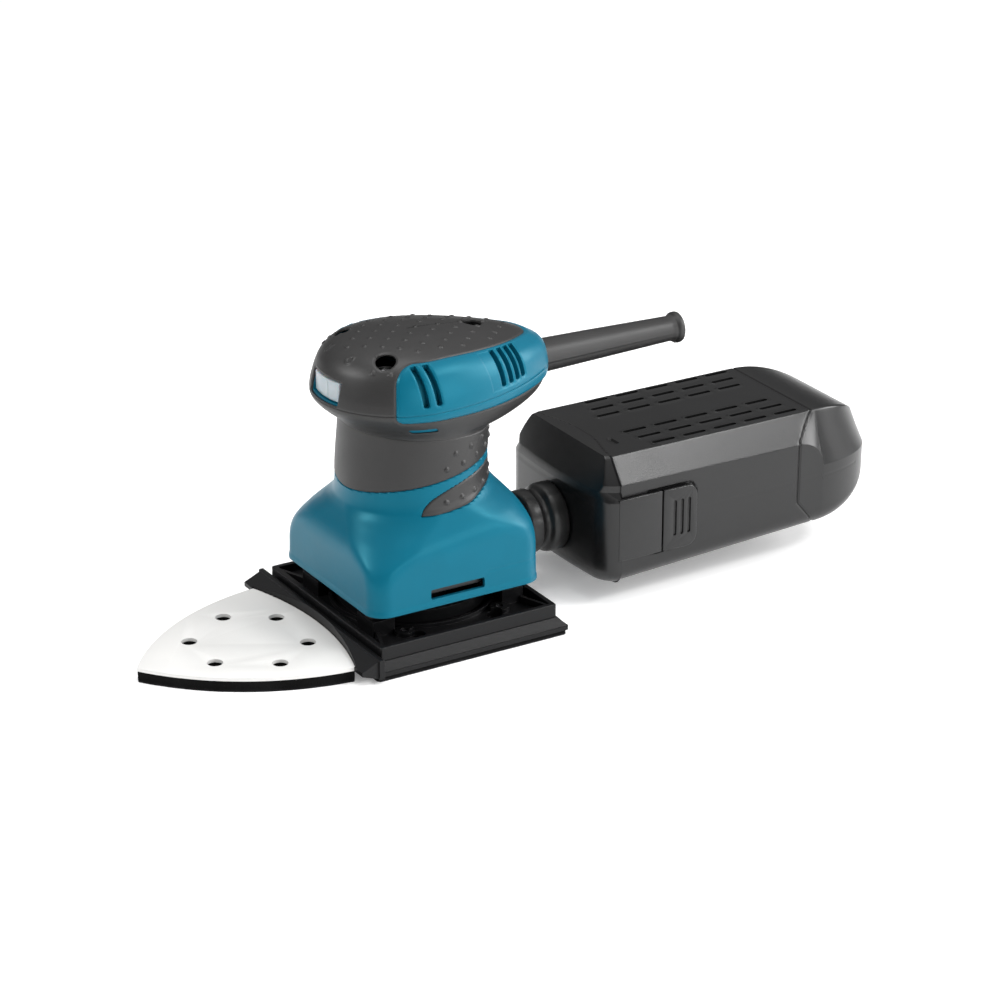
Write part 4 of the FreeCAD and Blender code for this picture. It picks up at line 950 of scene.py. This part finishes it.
def latches():
    """A thin tile with three grooves on each side of the box."""
    for side, where in ((-1, "left"), (1, "right")):
        node = "latch_" + where
        low, high = span(node)
        y0, y1, z0, z1 = low[1], high[1], low[2], high[2]
        outline = np.concatenate([[(y0, z0)], arc((y1 - 5.5, z0 + 5.5), 5.5, -90, 0, 9),
                                  arc((y1 - 5.5, z1 - 5.5), 5.5, 0, 90, 9), [(y0, z1)]])
        outer = side * (front_high[0] + 0.1)
        near, far = sorted((side * (BOX_HALF + 0.4), outer))
        tile = prism(node + "_tile", outline, near, far, "X", "black_plastic")
        soften(tile, 0.5, 3)
        for step in range(3):
            y = y0 + 6.2 + 3.9 * step
            groove = np.concatenate([arc((y, 30.6), 0.9, 180, 360, 9), arc((y, 46.6), 0.9, 0, 180, 9)])
            carve(tile, prism("groove", groove, outer - 1.0, outer + 1.0, "X", "black_plastic"))
        soften(tile, 0.12, 2, 40.0)
        dress(tile, where + "_latch", "black_plastic", node)


def nozzle_cuff():
    """The rubber boot that slides over the housing's outlet."""
    start = span("nozzle_cuff")[0][1]
    bore = 11.9
    side = [(bore, start), (14.1, start), (14.9, start + 1.0), (15.2, start + 3.4), (15.2, start + 6.6),
            (14.2, start + 7.6), (14.0, start + 8.6), (14.0, start + 10.2), (14.8, start + 11.0),
            (15.9, start + 12.0), (16.35, start + 14.0), (16.4, start + 19.4), (12.4, start + 19.5),
            (12.4, start + 25.0), (11.0, start + 25.0), (11.0, start + 14.0), (bore, start + 14.0)]
    piece = turned("nozzle_boot", rounded(side, 0.7), (0.0, 0.0, SPIGOT[2]), "Y", "rubber", 128)
    dress(settle(piece), "dust_front", "rubber", "nozzle_cuff")


def filter_sheet():
    """Non-woven cloth, quilted by the mesh of its support. Its near-black colour is painted shade seen
    through the box's top vents; the real cloth is pale.
    """
    low, high = span("filter_sheet")
    nx, ny = 54, 90
    x, y = np.meshgrid(np.linspace(low[0], high[0], nx), np.linspace(low[1], high[1], ny))
    z = high[2] - 0.55 + 0.18 * np.cos(x * math.pi / 4.5) * np.cos(y * math.pi / 4.5)
    number = np.arange(nx * ny).reshape(ny, nx)
    faces = np.stack([number[:-1, :-1], number[:-1, 1:], number[1:, 1:], number[1:, :-1]], -1)
    points = np.stack([x, y, z], -1).reshape(-1, 3)
    piece = new_piece("filter_cloth_sheet", points, faces.reshape(-1, 4).tolist(), "filter_cloth")
    shell = piece.modifiers.new("wall", "SOLIDIFY")
    shell.thickness = 0.5 * MM
    shell.offset = -1.0
    dress(settle(piece), "dust_rear", "filter_cloth", "filter_sheet")


# Pad.

DELTA_MIDDLE = np.array([0.0, -85.0])
DELTA_REAR = -57.0
DELTA_HOLES = [(15.2, -62.5), (27.9, -83.2), (12.8, -107.9)]
DELTA_HOLES += [(-x, y) for x, y in reversed(DELTA_HOLES)]
PAD_HOLES = [(x, y) for x in (-40.0, 40.0) for y in (-20.0, 20.0)]


def delta_outline(inset=0.0, count=44):
    """The detail tip: two bowed sides that meet at the front, and a bowed rear edge."""
    tip = (0.0, span("delta_plate")[0][1])
    half = span("delta_plate")[1][0]
    right, left = (half, DELTA_REAR), (-half, DELTA_REAR)
    outline = np.concatenate([bowed(tip, right, 115.0, count), bowed(right, left, 150.0, count),
                              bowed(left, tip, 115.0, count)])
    away = outline - DELTA_MIDDLE
    return DELTA_MIDDLE + away * (1 - inset / np.linalg.norm(away, axis=1, keepdims=True))


def soft_layer(node, finish, rings, spots, radius, points):
    """A layer of foam or felt under the pad, with its dust holes."""
    layer = settle(loft(node + "_layer", rings, finish, 40.0))
    drill(layer, spots, radius, points, *span(node), finish)
    dress(layer, "pad", finish, node)


def delta_tip():
    """The pale tip plate with the foam and hook sheet under it."""
    low, high = span("delta_plate")
    plate = prism("delta_plate_cover", delta_outline(), low[2], high[2], "Z", "white_plastic")
    drill(plate, DELTA_HOLES, 3.65, 40, low, high, "white_plastic")
    soften(plate, 0.35, 3, 35.0)
    dress(plate, "pad", "white_plastic", "delta_plate")
    for node, finish, edge in (("delta_foam", "pad_foam", 0.15), ("delta_hook_sheet", "hook_felt", 0.3)):
        low, high = span(node)
        rng = np.random.default_rng(7)
        outline = delta_outline(edge, 150)
        away = outline - DELTA_MIDDLE
        length = np.linalg.norm(away, axis=1, keepdims=True)
        rings = []
        for level in np.linspace(low[2], high[2], 7):
            rough = rng.normal(0.0, 0.09, len(outline))
            rough = np.convolve(np.concatenate([rough[-2:], rough, rough[:2]]), np.ones(5) / 5, "valid")
            shaped = DELTA_MIDDLE + away * (1 + (rough[:, None] - 0.1) / length)
            rings.append(np.column_stack([shaped, np.full(len(outline), level)]))
        soft_layer(node, finish, rings, DELTA_HOLES, 3.6, 40)


def pad_layers():
    """The foam and hook sheet under the square plate, with their four dust holes."""
    for node, finish in (("main_foam", "pad_foam"), ("hook_sheet", "hook_felt")):
        low, high = span(node)
        corners = [(low[0], low[1]), (high[0], low[1]), (high[0], high[1]), (low[0], high[1])]
        outline = box_outline(corners, [2.0] * 4, [90, 80, 90, 80], 8)
        rng = np.random.default_rng(11)
        rings = []
        for level in np.linspace(low[2], high[2], 4):
            rough = 1 - np.abs(rng.normal(0.0, 0.0012, len(outline)))
            rings.append(np.column_stack([outline * rough[:, None], np.full(len(outline), level)]))
        soft_layer(node, finish, rings, PAD_HOLES, 4.0, 32)


def legs():
    """Four waisted rubber posts between the pad and the housing."""
    for node in ("leg_front_left", "leg_front_right", "leg_rear_left", "leg_rear_right"):
        low, high = span(node)
        x, y = (low[0] + high[0]) / 2, (low[1] + high[1]) / 2
        radius = (high[0] - low[0]) / 2
        span_z = high[2] - low[2]
        profile = [(0.02, low[2])]
        for share in np.linspace(0, 1, 15):
            waist = 1 - 0.24 * math.sin(math.pi * share) ** 0.8
            profile.append((radius * waist, low[2] + span_z * share))
        profile.append((0.02, high[2]))
        post = turned(node + "_post", profile, (x, y, 0.0), "Z", "rubber", 48)
        dress(settle(post), "pad", "rubber", node)


# CAD nodes and the scene.

def finish_cad_nodes():
    """The hidden parts and the prismatic ones keep their CAD shape, in procedural finishes."""
    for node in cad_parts.values():
        for slot in node.material_slots:
            wanted = slot.material.name.split(".")[0]
            slot.material = MATERIALS.get(wanted, MATERIALS["black_plastic"])


def studio():
    """A white room that is darker low down, a pale floor and six lamps."""
    world = bpy.data.worlds.new("studio")
    world.use_nodes = True
    tree = world.node_tree
    place = add_node(tree, "TexCoord")
    parts = add_node(tree, "SeparateXYZ")
    shade = add_node(tree, "MapRange", From_Min=0.25, From_Max=0.85, To_Min=0.12, To_Max=0.75)
    tree.links.new(place.outputs["Generated"], parts.inputs["Vector"])
    tree.links.new(parts.outputs["Z"], shade.inputs["Value"])
    tree.links.new(shade.outputs["Result"], tree.nodes["Background"].inputs["Strength"])
    tree.nodes["Background"].inputs["Color"].default_value = (1.0, 1.0, 1.0, 1.0)
    bpy.context.scene.world = world
    floor_mesh = bpy.data.meshes.new("floor")
    reach = 8.0
    floor_mesh.from_pydata([(-reach, -reach, 0), (reach, -reach, 0), (reach, reach, 0), (-reach, reach, 0)],
                           [], [(0, 1, 2, 3)])
    floor_finish = bpy.data.materials.new("pale_floor")
    floor_finish.use_nodes = True
    shader = floor_finish.node_tree.nodes["Principled BSDF"]
    set_inputs(shader, Base_Color=(0.95, 0.95, 0.95, 1.0), Emission_Color=(1.0, 1.0, 1.0, 1.0),
               Emission_Strength=0.2, Roughness=0.9)
    floor_mesh.materials.append(floor_finish)
    floor = add_object("floor", floor_mesh)
    aim = Vector((0.0, 0.04, 0.06))
    for name, place, size, power in (("key", (-0.25, -0.95, 0.8), 0.32, 6.5),
                                     ("top", (0.0, 0.1, 1.2), 0.8, 5.0),
                                     ("side", (0.75, 0.8, 1.05), 0.4, 7.0),
                                     ("right", (1.25, -0.05, 0.38), 0.35, 2.6),
                                     ("panel", (1.1, 0.6, 0.34), 0.3, 3.0),
                                     ("rear", (0.44, 1.22, 0.52), 0.9, 14.0)):
        data = bpy.data.lights.new(name, "AREA")
        data.shape = "RECTANGLE"
        data.size, data.size_y = size, size * 0.6
        data.energy = power
        lamp = add_object(name, data)
        lamp.location = place
        lamp.rotation_euler = (aim - Vector(place)).to_track_quat("-Z", "Y").to_euler()


def camera():
    """A long lens at the viewing angle, turned about a point above the pad."""
    azimuth, elevation = math.radians(58.97), math.radians(23.11)
    distance, aside, down = 1.590, 0.04034, -0.00285
    back = Vector((math.sin(azimuth) * math.cos(elevation), -math.cos(azimuth) * math.cos(elevation),
                   math.sin(elevation)))
    right = Vector((math.cos(azimuth), math.sin(azimuth), 0.0))
    up = back.cross(right)
    data = bpy.data.cameras.new("camera")
    data.lens = 126.0
    data.sensor_width = 36.0
    data.clip_start = 0.05
    eye = add_object("camera", data)
    turn = Matrix((right, up, back)).transposed()
    eye.matrix_world = turn.to_4x4()
    eye.location = Vector((0.0, 0.0, 0.060)) + back * distance + right * aside + up * down
    bpy.context.scene.camera = eye


bpy.context.scene.view_settings.view_transform = "Standard"
camera()
studio()
finish_cad_nodes()
motor_housing()
neck_grips()
neck_trim()
head()
screws()
rocker()
cord_guard()
box_shell()
box_front()
latches()
nozzle_cuff()
filter_sheet()
delta_tip()
pad_layers()
legs()
